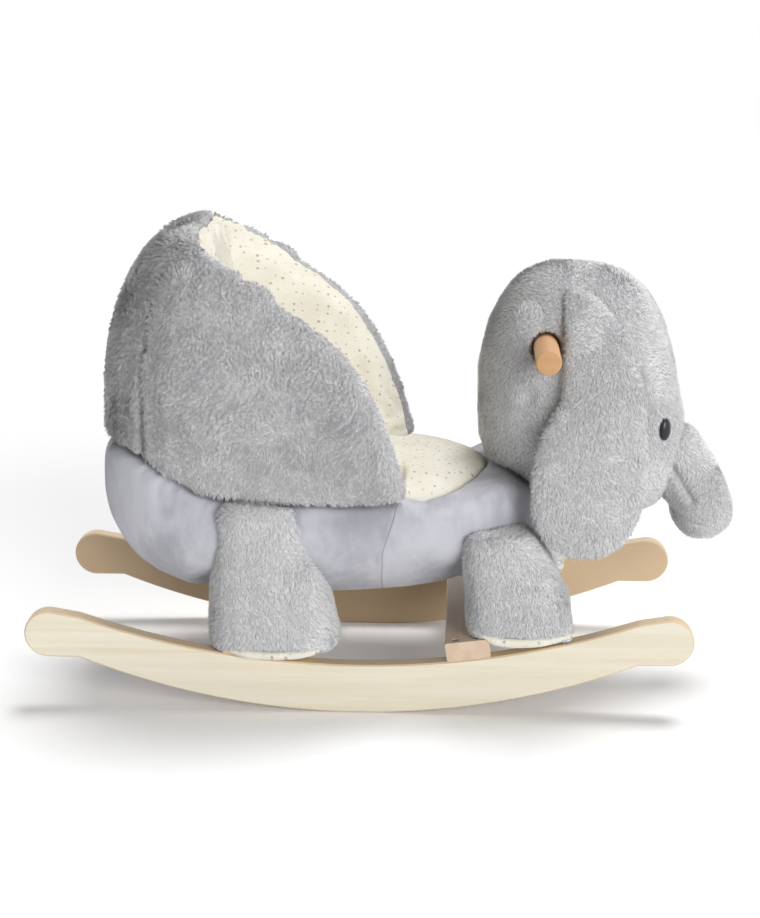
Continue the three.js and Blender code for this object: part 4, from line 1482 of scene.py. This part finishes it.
@dataclass
class Eyes:
    """Two domed plastic eyes."""

    sides: int = 40
    rings: int = 24
    foot_share: float = 0.35
    rim_share: float = 0.98
    narrow: float = 0.80
    tall: float = 1.28
    set_back: float = -3.0 * MM
    finish: EyeGloss = EyeGloss()

    def build(self) -> None:
        """Builds each eye over its solid, on the solid's own axis."""
        material = self.finish.material()
        for side in Side:
            piece = self._eye(side)
            stand_in(piece, f"eye_{side.word}", material)
            log.info("%s: %d faces", piece.name, len(piece.data.polygons))

    def _eye(self, side: Side) -> bpy.types.Object:
        """One eye: a low dome with a rolled rim.

        Args:
            side: The side of the head.

        Returns:
            The eye.
        """
        points = points_of(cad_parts[f"eye_{side.word}"].data)
        centre, axis, radius, dome = self._measure(points)
        form = bmesh.new()
        bmesh.ops.create_uvsphere(form, u_segments=self.sides, v_segments=self.rings, radius=1.0)
        below = [vert for vert in form.verts if vert.co.z < -self.foot_share]
        bmesh.ops.delete(form, geom=below, context="VERTS")
        rim = [edge for edge in form.edges if edge.is_boundary]
        bmesh.ops.holes_fill(form, edges=rim)
        bmesh.ops.scale(form, vec=(radius * self.narrow, radius * self.tall, dome), verts=form.verts)
        across = Vector((0, 0, 1)).cross(axis).normalized()
        turn = Matrix((across, axis.cross(across), axis)).transposed().to_4x4()
        moved = centre - across * (side.value * self.set_back)
        bmesh.ops.transform(form, matrix=Matrix.Translation(moved) @ turn, verts=form.verts)
        return from_bmesh(f"eye_dome_{side.word}", form)

    def _measure(self, points: Array) -> tuple[Vector, Vector, float, float]:
        """Measures an eye from its solid, whose stem makes it longest along its own line.

        Args:
            points: The places of the solid's vertices.

        Returns:
            The rim's middle, the way that the eye faces, the rim's radius and the dome's height.
        """
        _, axis, reach, spread = along_line(points)
        rim = spread > spread.max() * self.rim_share
        centre = points[rim].mean(axis=0)
        radius = float(spread[rim].mean())
        level = reach[rim].mean()
        if reach.max() - level >= level - reach.min():
            axis = -axis
        dome = float(((points - centre) @ axis).max())
        return Vector(centre), Vector(axis), radius, dome


@dataclass
class Screws:
    """The countersunk cross-head screws in the slats, and the plain ones inside the plush."""

    segments: int = 32
    arm_width: float = 0.17
    arm_length: float = 0.58
    recess: float = 1.5 * MM
    recess_share: float = 0.35
    cone: float = 2.8 * MM
    head_zone: float = 4.0 * MM
    core: float = 0.5 * MM
    point: float = 3.0 * MM
    point_share: float = 0.1
    turn_step: float = 0.7
    finish: PlatedSteel = PlatedSteel()

    def build(self) -> None:
        """Plates every screw and bolt, and builds those that show in the slats."""
        material = self.finish.material()
        names = [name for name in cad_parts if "screw" in name or "bolt_" in name]
        for number, name in enumerate(sorted(names)):
            if "slat_screw" not in name:
                dress(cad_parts[name], material)
                continue
            stand_in(self._slat_screw(name, number * self.turn_step), name, material)
        log.info("%d screws and bolts", len(names))

    def _slat_screw(self, name: str, turned: float) -> bpy.types.Object:
        """One screw over its solid: a flat head with a cross recess, its cone and its shank.

        Args:
            name: The node that it stands for.
            turned: How far it is turned about its own line.

        Returns:
            The screw.
        """
        middle, up, height, spread = along_line(points_of(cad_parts[name].data))
        if up[2] < 0:
            up, height = -up, -height
        top, radius = height.max(), float(spread.max())
        shank = spread[(height < top - self.head_zone) & (spread > self.core)]
        form = self._head(radius)
        rim = [edge for edge in form.edges if edge.is_boundary]
        rim = self._drawn_down(form, rim, self.cone, float(shank.max()) / radius)
        rim = self._drawn_down(form, rim, float(top - height.min()) - self.cone - self.point, 1.0)
        rim = self._drawn_down(form, rim, self.point, self.point_share)
        bmesh.ops.holes_fill(form, edges=rim)
        turn = Vector((0, 0, 1)).rotation_difference(Vector(up)).to_matrix().to_4x4()
        place = Matrix.Translation(Vector(middle + up * top)) @ turn @ Matrix.Rotation(turned, 4, "Z")
        bmesh.ops.transform(form, matrix=place, verts=form.verts)
        bmesh.ops.recalc_face_normals(form, faces=form.faces)
        return from_bmesh(f"{name}_cross_head", form)

    def _head(self, radius: float) -> bmesh.types.BMesh:
        """The head's flat top, with its cross sunk in.

        Args:
            radius: The head's radius.

        Returns:
            The top, open round its edge.
        """
        form = bmesh.new()
        bmesh.ops.create_grid(form, x_segments=3, y_segments=3, size=radius * self.arm_length)
        third = radius * self.arm_length / 3
        for vert in form.verts:
            for axis in (0, 1):
                if abs(vert.co[axis]) < third * 1.5:
                    vert.co[axis] = math.copysign(radius * self.arm_width, vert.co[axis])
        middles = {face: face.calc_center_median() for face in form.faces}
        corners = [face for face, middle in middles.items() if min(abs(middle.x), abs(middle.y)) > third]
        bmesh.ops.delete(form, geom=corners, context="FACES")
        cross = list(form.faces)
        inner = [edge for edge in form.edges if edge.is_boundary]
        made = bmesh.ops.create_circle(form, segments=self.segments, radius=radius, cap_ends=False)
        outer = list({edge for vert in made["verts"] for edge in vert.link_edges})
        bmesh.ops.bridge_loops(form, edges=inner + outer)
        sunk = bmesh.ops.extrude_face_region(form, geom=cross)["geom"]
        floor = [part for part in sunk if isinstance(part, bmesh.types.BMVert)]
        bmesh.ops.scale(form, vec=(self.recess_share, self.recess_share, 1.0), verts=floor)
        bmesh.ops.translate(form, vec=(0.0, 0.0, -self.recess), verts=floor)
        bmesh.ops.delete(form, geom=cross, context="FACES_ONLY")
        return form

    @staticmethod
    def _drawn_down(
        form: bmesh.types.BMesh, rim: list[bmesh.types.BMEdge], depth: float, share: float
    ) -> list[bmesh.types.BMEdge]:
        """Extrudes a rim downwards and scales it.

        Args:
            form: The screw so far.
            rim: The open edges.
            depth: How far down.
            share: What is left of its radius.

        Returns:
            The new open edges.
        """
        made = bmesh.ops.extrude_edge_only(form, edges=rim)["geom"]
        verts = [part for part in made if isinstance(part, bmesh.types.BMVert)]
        bmesh.ops.translate(form, vec=(0.0, 0.0, -depth), verts=verts)
        bmesh.ops.scale(form, vec=(share, share, 1.0), verts=verts)
        return [part for part in made if isinstance(part, bmesh.types.BMEdge)]


@dataclass
class Plush:
    """All the stuffed and sewn pieces."""

    short: Pile = Pile(length=5.0 * MM, clump=4.0 * MM, gather=0.45, tousle=0.27)
    fine: Pile = Pile(length=4.5 * MM, clump=3.6 * MM, gather=0.4, rise=math.radians(55), tousle=0.22)
    long: Pile = Pile(
        length=5.7 * MM,
        area=1.84 * MM * MM,
        clump=4.3 * MM,
        gather=0.46,
        wander=0.7,
        tousle=0.3,
        shag_height=260 * MM,
        shag_length=0.2,
        shag_tousle=0.8,
    )
    pile: PlushPile = PlushPile()
    long_pile: PlushPile = PlushPile(
        "fur_long_pile",
        # Painted shade: the darker root, as in the short pile.
        root=(0.48, 0.48, 0.49),
        tip=(0.87, 0.875, 0.87),
        dusk=(0.57, 0.555, 0.57),
        patches=7.0,
    )
    backing: PlushBacking = PlushBacking()
    velour: Velour = Velour()
    cotton: DottedCotton = DottedCotton()
    # Painted shade: a darker copy of the same cotton, for the seat pad.
    pad_cotton: DottedCotton = DottedCotton(
        "pad_cotton", cloth=(0.775, 0.75, 0.655), fold=(0.705, 0.675, 0.575)
    )
    well_corner: tuple[float, float] = mm(-106.3, 18.0)
    well_radius: float = 70 * MM
    well_slope: float = 0.6
    corner_angle: float = math.radians(56)
    brushed_from: float = 330 * MM
    ear_seam: Seam = Seam((mm(181, 476), mm(180, 434), mm(178, 398)))
    trunk_crease: Seam = Seam((mm(301, 246), mm(308, 236), mm(316, 224), mm(329, 203)), *mm(8, 5))
    trunk_end: Seam = Seam(
        (mm(300, 196), mm(312, 186), mm(326, 179), mm(342, 173), mm(356, 169)), *mm(5, 1.6)
    )
    creases: tuple[Seam, ...] = (
        Seam((mm(-25, 297), mm(-14, 281), mm(-2, 262)), *mm(7, 2.6)),
        Seam((mm(-3, 287), mm(4, 276), mm(10, 262)), *mm(6, 2.2)),
        Seam((mm(-4, 242), mm(6, 246), mm(14, 245)), *mm(6, 2.6)),
        Seam((mm(-36, 320), mm(-30, 305), mm(-28, 284)), *mm(8, 1.6)),
    )
    slack: Pull = Pull(mm(76, 104, 236), 36 * MM, mm(0, 0, -10))
    ear_dent: Dent = Dent(mm(143, 94, 328), *mm(14, 9))
    dowel_dent_out: float = 76 * MM
    dowel_dent_size: tuple[float, float] = mm(27, 4.5)
    toe_reach: float = 28 * MM
    toe_lift: float = 6 * MM
    toe_forward: float = 5 * MM
    toe_share: float = 0.3
    eye_offset: tuple[float, float] = mm(-2, 4)
    eye_clearing: float = 7.5 * MM
    first_seed: int = 11

    def build(self) -> None:
        """Builds the velour, the cotton and then the fur pieces."""
        self._velour()
        self._cotton()
        self._furs()

    def _velour(self) -> None:
        """The belly."""
        belly = SewnForm("belly", "velour", voxel=5 * MM, pressure=3.0, relief=0.8 * MM, swell=0.5 * MM)
        belly.pulls = [self.slack]
        belly.build(self.velour.material())

    def _cotton(self) -> None:
        """The seat pad, the linings and the soles."""
        # The seat pad takes the darker copy of the cotton, which is painted shade.
        material, shaded_pad_material = self.cotton.material(), self.pad_cotton.material()
        pad = SewnForm("seat_pad", "dotted_cotton", voxel=4 * MM, pressure=2.0, cap=4 * MM, swell=0.6 * MM)
        forms = [pad]
        for node in ("back_lining", "wing_lining_right", "wing_lining_left"):
            lining = SewnForm(node, "dotted_cotton", voxel=4 * MM, pressure=3.0, rounds=12, cap=5 * MM)
            lining.hollows = self.creases if "wing" in node else ()
            forms.append(lining)
        for end in ("front", "rear"):
            for side in Side:
                node = f"{end}_sole_{side.word}"
                sole = SewnForm(node, "dotted_cotton", voxel=2.3 * MM, rounds=7, swell=1.2 * MM)
                sole.pulls = self._toe_pulls(node, self.toe_lift)
                forms.append(sole)
        for form in forms:
            piece = form.build(shaded_pad_material if form is pad else material)
            self._flatten(piece, form.node)

    def _flatten(self, piece: bpy.types.Object, node: str) -> None:
        """Gives the piece flat coordinates in metres: from above, or unrolled round the well or a sole.

        Args:
            piece: The cotton piece.
            node: The node that it stands for.
        """
        mesh = piece.data
        points = points_of(mesh)
        pair = points[:, :2]
        if "lining" in node:
            pair = self._unrolled(points)
        elif "sole" in node:
            pair = np.stack([points[:, 0], points[:, 1] + points[:, 2]], axis=1)
        corners = read(mesh.loops, "vertex_index", 1)[:, 0]
        layer = mesh.uv_layers.new(name="cloth")
        layer.data.foreach_set("uv", pair[corners].astype(np.float32).ravel())

    def _unrolled(self, points: Array) -> Array:
        """Unrolls the seat's well.

        Args:
            points: The places of a lining's vertices.

        Returns:
            The way round the well and the way up it, for each.
        """
        x, y, z = points.T
        middle_x, middle_y = self.well_corner
        side = np.sign(y)
        back, out = middle_x - x, np.abs(y) - middle_y
        turn = np.arctan2(np.maximum(out, 0), np.maximum(back, 1e-9))
        corner = self.well_radius * np.minimum(turn, math.pi / 2)
        flat = np.minimum(out, 0) + np.maximum(-back, 0)
        around = side * (middle_y + corner + flat)
        away = np.hypot(np.maximum(back, 0), np.maximum(out, 0)) - self.well_radius
        return np.stack([around, z + self.well_slope * away], axis=1)

    def _furs(self) -> None:
        """The hip, the legs, the head, the trunk and the ears."""
        backing = self.backing.material()
        coats = {self.short: self.pile.material(), self.long: self.long_pile.material()}
        brushed = Brushing(self.well_corner, self.corner_angle, self.brushed_from)
        solids = set(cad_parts)
        ears = {Body.EAR_RIGHT.value, Body.EAR_LEFT.value}
        moving = ears | {Body.TRUNK.value}
        plans = [(SewnForm("back_bolster", "fur", swell=-1.5 * MM), self.long)]
        for side in Side:
            rim = Rim((f"wing_lining_{side.word}",))
            plans.append((SewnForm(f"wing_{side.word}", "fur", swell=0.3 * MM, rim=rim), self.long))
        for end in ("front", "rear"):
            for side in Side:
                leg = SewnForm(f"{end}_leg_{side.word}", "fur", voxel=4 * MM, rounds=20, swell=-1.2 * MM)
                leg.pulls = self._toe_pulls(f"{end}_sole_{side.word}", -self.toe_lift)
                plans.append((leg, self.short))
        plans.append((SewnForm("head", "fur", swell=-1.5 * MM, hollows=self._head_hollows()), self.fine))
        trunk = SewnForm("trunk", "fur", Body.TRUNK, voxel=3.5 * MM, rounds=60, swell=-0.5 * MM)
        trunk.hollows = (self.trunk_crease, self.trunk_end)
        plans.append((trunk, self.fine))
        plans += [
            (SewnForm(body.value, "fur", body, voxel=3.5 * MM, rounds=12, swell=-1.0 * MM), self.short)
            for body in (Body.EAR_RIGHT, Body.EAR_LEFT)
        ]
        for seed, (form, pile) in enumerate(plans, self.first_seed):
            skin = form.build(backing)
            near = {"handle_dowel"} if form.node in moving else solids - ears - {form.node}
            seams = self._seams_of(form.node)
            bare = self._bare_places() if form.node == "head" else []
            brushing = brushed if pile is self.long else None
            fur = Fur(pile, seed, brushing, form.rim).plant(skin, tree_of(sorted(near)), seams, bare)
            dress(fur, coats.get(pile, coats[self.short]))
            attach(fur, form.body.value)
            log.info("%s: %d triangles", fur.name, len(fur.data.polygons))

    def _toe_pulls(self, sole: str, lift: float) -> list[Pull]:
        """How a foot's two ends are drawn: both up or down, and the front foot's toe forwards.

        Args:
            sole: The foot's sole.
            lift: How far up its ends go, or down where it is below nought.

        Returns:
            The pulls.
        """
        low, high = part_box(sole)
        middle = (low + high) / 2
        out = (high.y - low.y) * self.toe_share
        toe = self.toe_forward if "front" in sole else 0.0
        return [
            Pull((x, y, middle.z), self.toe_reach, (forward, 0.0, lift))
            for x, forward in ((high.x, toe), (low.x, 0.0))
            for y in (middle.y - out, middle.y + out)
        ]

    def _seams_of(self, node: str) -> list[Union[Seam, Hem]]:
        """The seams and hems of one fur piece.

        Args:
            node: The node that the piece stands for.

        Returns:
            The lines at which its tufts are short.
        """
        if node.startswith("ear_"):
            return [self.ear_seam]
        if node == "trunk":
            return [self.trunk_crease, self.trunk_end]
        if "_leg_" in node:
            return [Hem(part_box(node)[0].z)]
        return []

    def _head_hollows(self) -> tuple[Dent, ...]:
        """Where the head is drawn in: round the dowel and at the foot of each ear's root.

        Returns:
            The hollows.
        """
        low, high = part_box("handle_dowel")
        x, y, z = self.ear_dent.centre
        hollows = []
        for side in Side:
            centre = ((low.x + high.x) / 2, side.value * self.dowel_dent_out, (low.z + high.z) / 2)
            hollows.append(Dent(centre, *self.dowel_dent_size))
            hollows.append(replace(self.ear_dent, centre=(x, side.value * y, z)))
        return tuple(hollows)

    def _bare_places(self) -> list[tuple[Vector, float]]:
        """The places on the head with no fur: round each eye.

        Returns:
            Each place's middle and radius.
        """
        forward, out = self.eye_offset
        places = []
        for side in Side:
            low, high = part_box(f"eye_{side.word}")
            middle = (low + high) / 2 + Vector((forward, side.value * out, 0))
            places.append((middle, self.eye_clearing))
        return places


@dataclass(frozen=True)
class Lamp:
    """One far lamp: the way that it shines from, its strength, and how wide it looks from the set."""

    name: str
    source: tuple[float, float, float]
    strength: float
    spread: float

    def hang(self) -> None:
        """Puts the lamp in the scene."""
        data = bpy.data.lights.new(self.name, "SUN")
        data.energy = self.strength
        data.angle = self.spread
        way = -Vector(self.source)
        added(self.name, data).rotation_euler = way.to_track_quat("-Z", "Y").to_euler()


@dataclass
class Studio:
    """The pale floor, the soft lamps and the camera."""

    eye: tuple[float, float, float] = mm(107.28, -2011.16, 785.82)
    yaw: float = 0.0445
    pitch: float = 0.2660
    focal_pixels: float = 1908.42
    frame_height: float = 918.0
    sensor: float = 36.0
    far_limit: float = 60.0
    floor_half: float = 6.0
    floor_drop: float = 0.2 * MM
    floor_tone: Colour = (0.96, 0.96, 0.96)
    floor_glow: float = 0.1
    sky_light: float = 0.16
    lamps: tuple[Lamp, ...] = (
        Lamp("front_lamp", (0.48, -0.80, 0.28), 2.1, math.radians(36)),
        Lamp("top_lamp", (0.20, 0.25, 0.95), 2.0, math.radians(22)),
        Lamp("back_lamp", (-0.30, 0.92, 0.25), 0.6, math.radians(60)),
    )

    def build(self) -> None:
        """Builds the whole set."""
        bpy.context.scene.view_settings.view_transform = "Standard"
        self._floor()
        for lamp in self.lamps:
            lamp.hang()
        self._sky()
        self._camera()

    def _floor(self) -> None:
        """A wide pale floor that shows white to the camera and keeps the shadows."""
        form = bmesh.new()
        bmesh.ops.create_grid(form, x_segments=1, y_segments=1, size=self.floor_half)
        bmesh.ops.translate(form, vec=(0.0, 0.0, -self.floor_drop), verts=form.verts)
        floor = from_bmesh("studio_floor", form)
        graph = Graph("studio_floor")
        material = graph.finish(
            Base_Color=self.floor_tone,
            Roughness=1.0,
            Specular_IOR_Level=0.0,
            Emission_Color=graph.node("ShaderNodeLightPath", output="Is Camera Ray"),
            Emission_Strength=self.floor_glow,
        )
        dress(floor, material)

    def _sky(self) -> None:
        """A dim white sky that the camera and reflections see as plain white."""
        world = bpy.data.worlds.new("studio_sky")
        bpy.context.scene.world = world
        world.use_nodes = True
        tree = world.node_tree
        background = tree.nodes["Background"]
        background.inputs[0].default_value = (1.0, 1.0, 1.0, 1.0)
        path = tree.nodes.new("ShaderNodeLightPath")
        seen = path.outputs["Is Camera Ray"]
        for name in ("Is Glossy Ray", "Is Transmission Ray"):
            either = tree.nodes.new("ShaderNodeMath")
            either.operation = "MAXIMUM"
            tree.links.new(seen, either.inputs[0])
            tree.links.new(path.outputs[name], either.inputs[1])
            seen = either.outputs[0]
        level = tree.nodes.new("ShaderNodeMapRange")
        level.inputs["To Min"].default_value = self.sky_light
        tree.links.new(seen, level.inputs["Value"])
        tree.links.new(level.outputs[0], background.inputs[1])

    def _camera(self) -> None:
        """The camera, at the photograph's place and angle."""
        low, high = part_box("rocker_right")
        middle = (low.x + high.x) / 2
        data = bpy.data.cameras.new("camera")
        data.sensor_width = self.sensor
        data.lens = self.focal_pixels * self.sensor / self.frame_height
        data.clip_end = self.far_limit
        camera = added("camera", data)
        camera.location = Vector(self.eye) + Vector((middle, 0.0, 0.0))
        level = math.cos(self.pitch)
        look = Vector((-math.sin(self.yaw) * level, math.cos(self.yaw) * level, -math.sin(self.pitch)))
        camera.rotation_euler = look.to_track_quat("-Z", "Y").to_euler()
        bpy.context.scene.camera = camera


def main() -> None:
    """Builds the studio, then the toy's looks in order."""
    logging.basicConfig(level=logging.INFO, format="%(message)s")
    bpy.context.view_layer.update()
    Studio().build()
    Woodwork().dress()
    Screws().build()
    Dowel().build()
    Eyes().build()
    Plush().build()


if __name__ == "__main__":
    main()
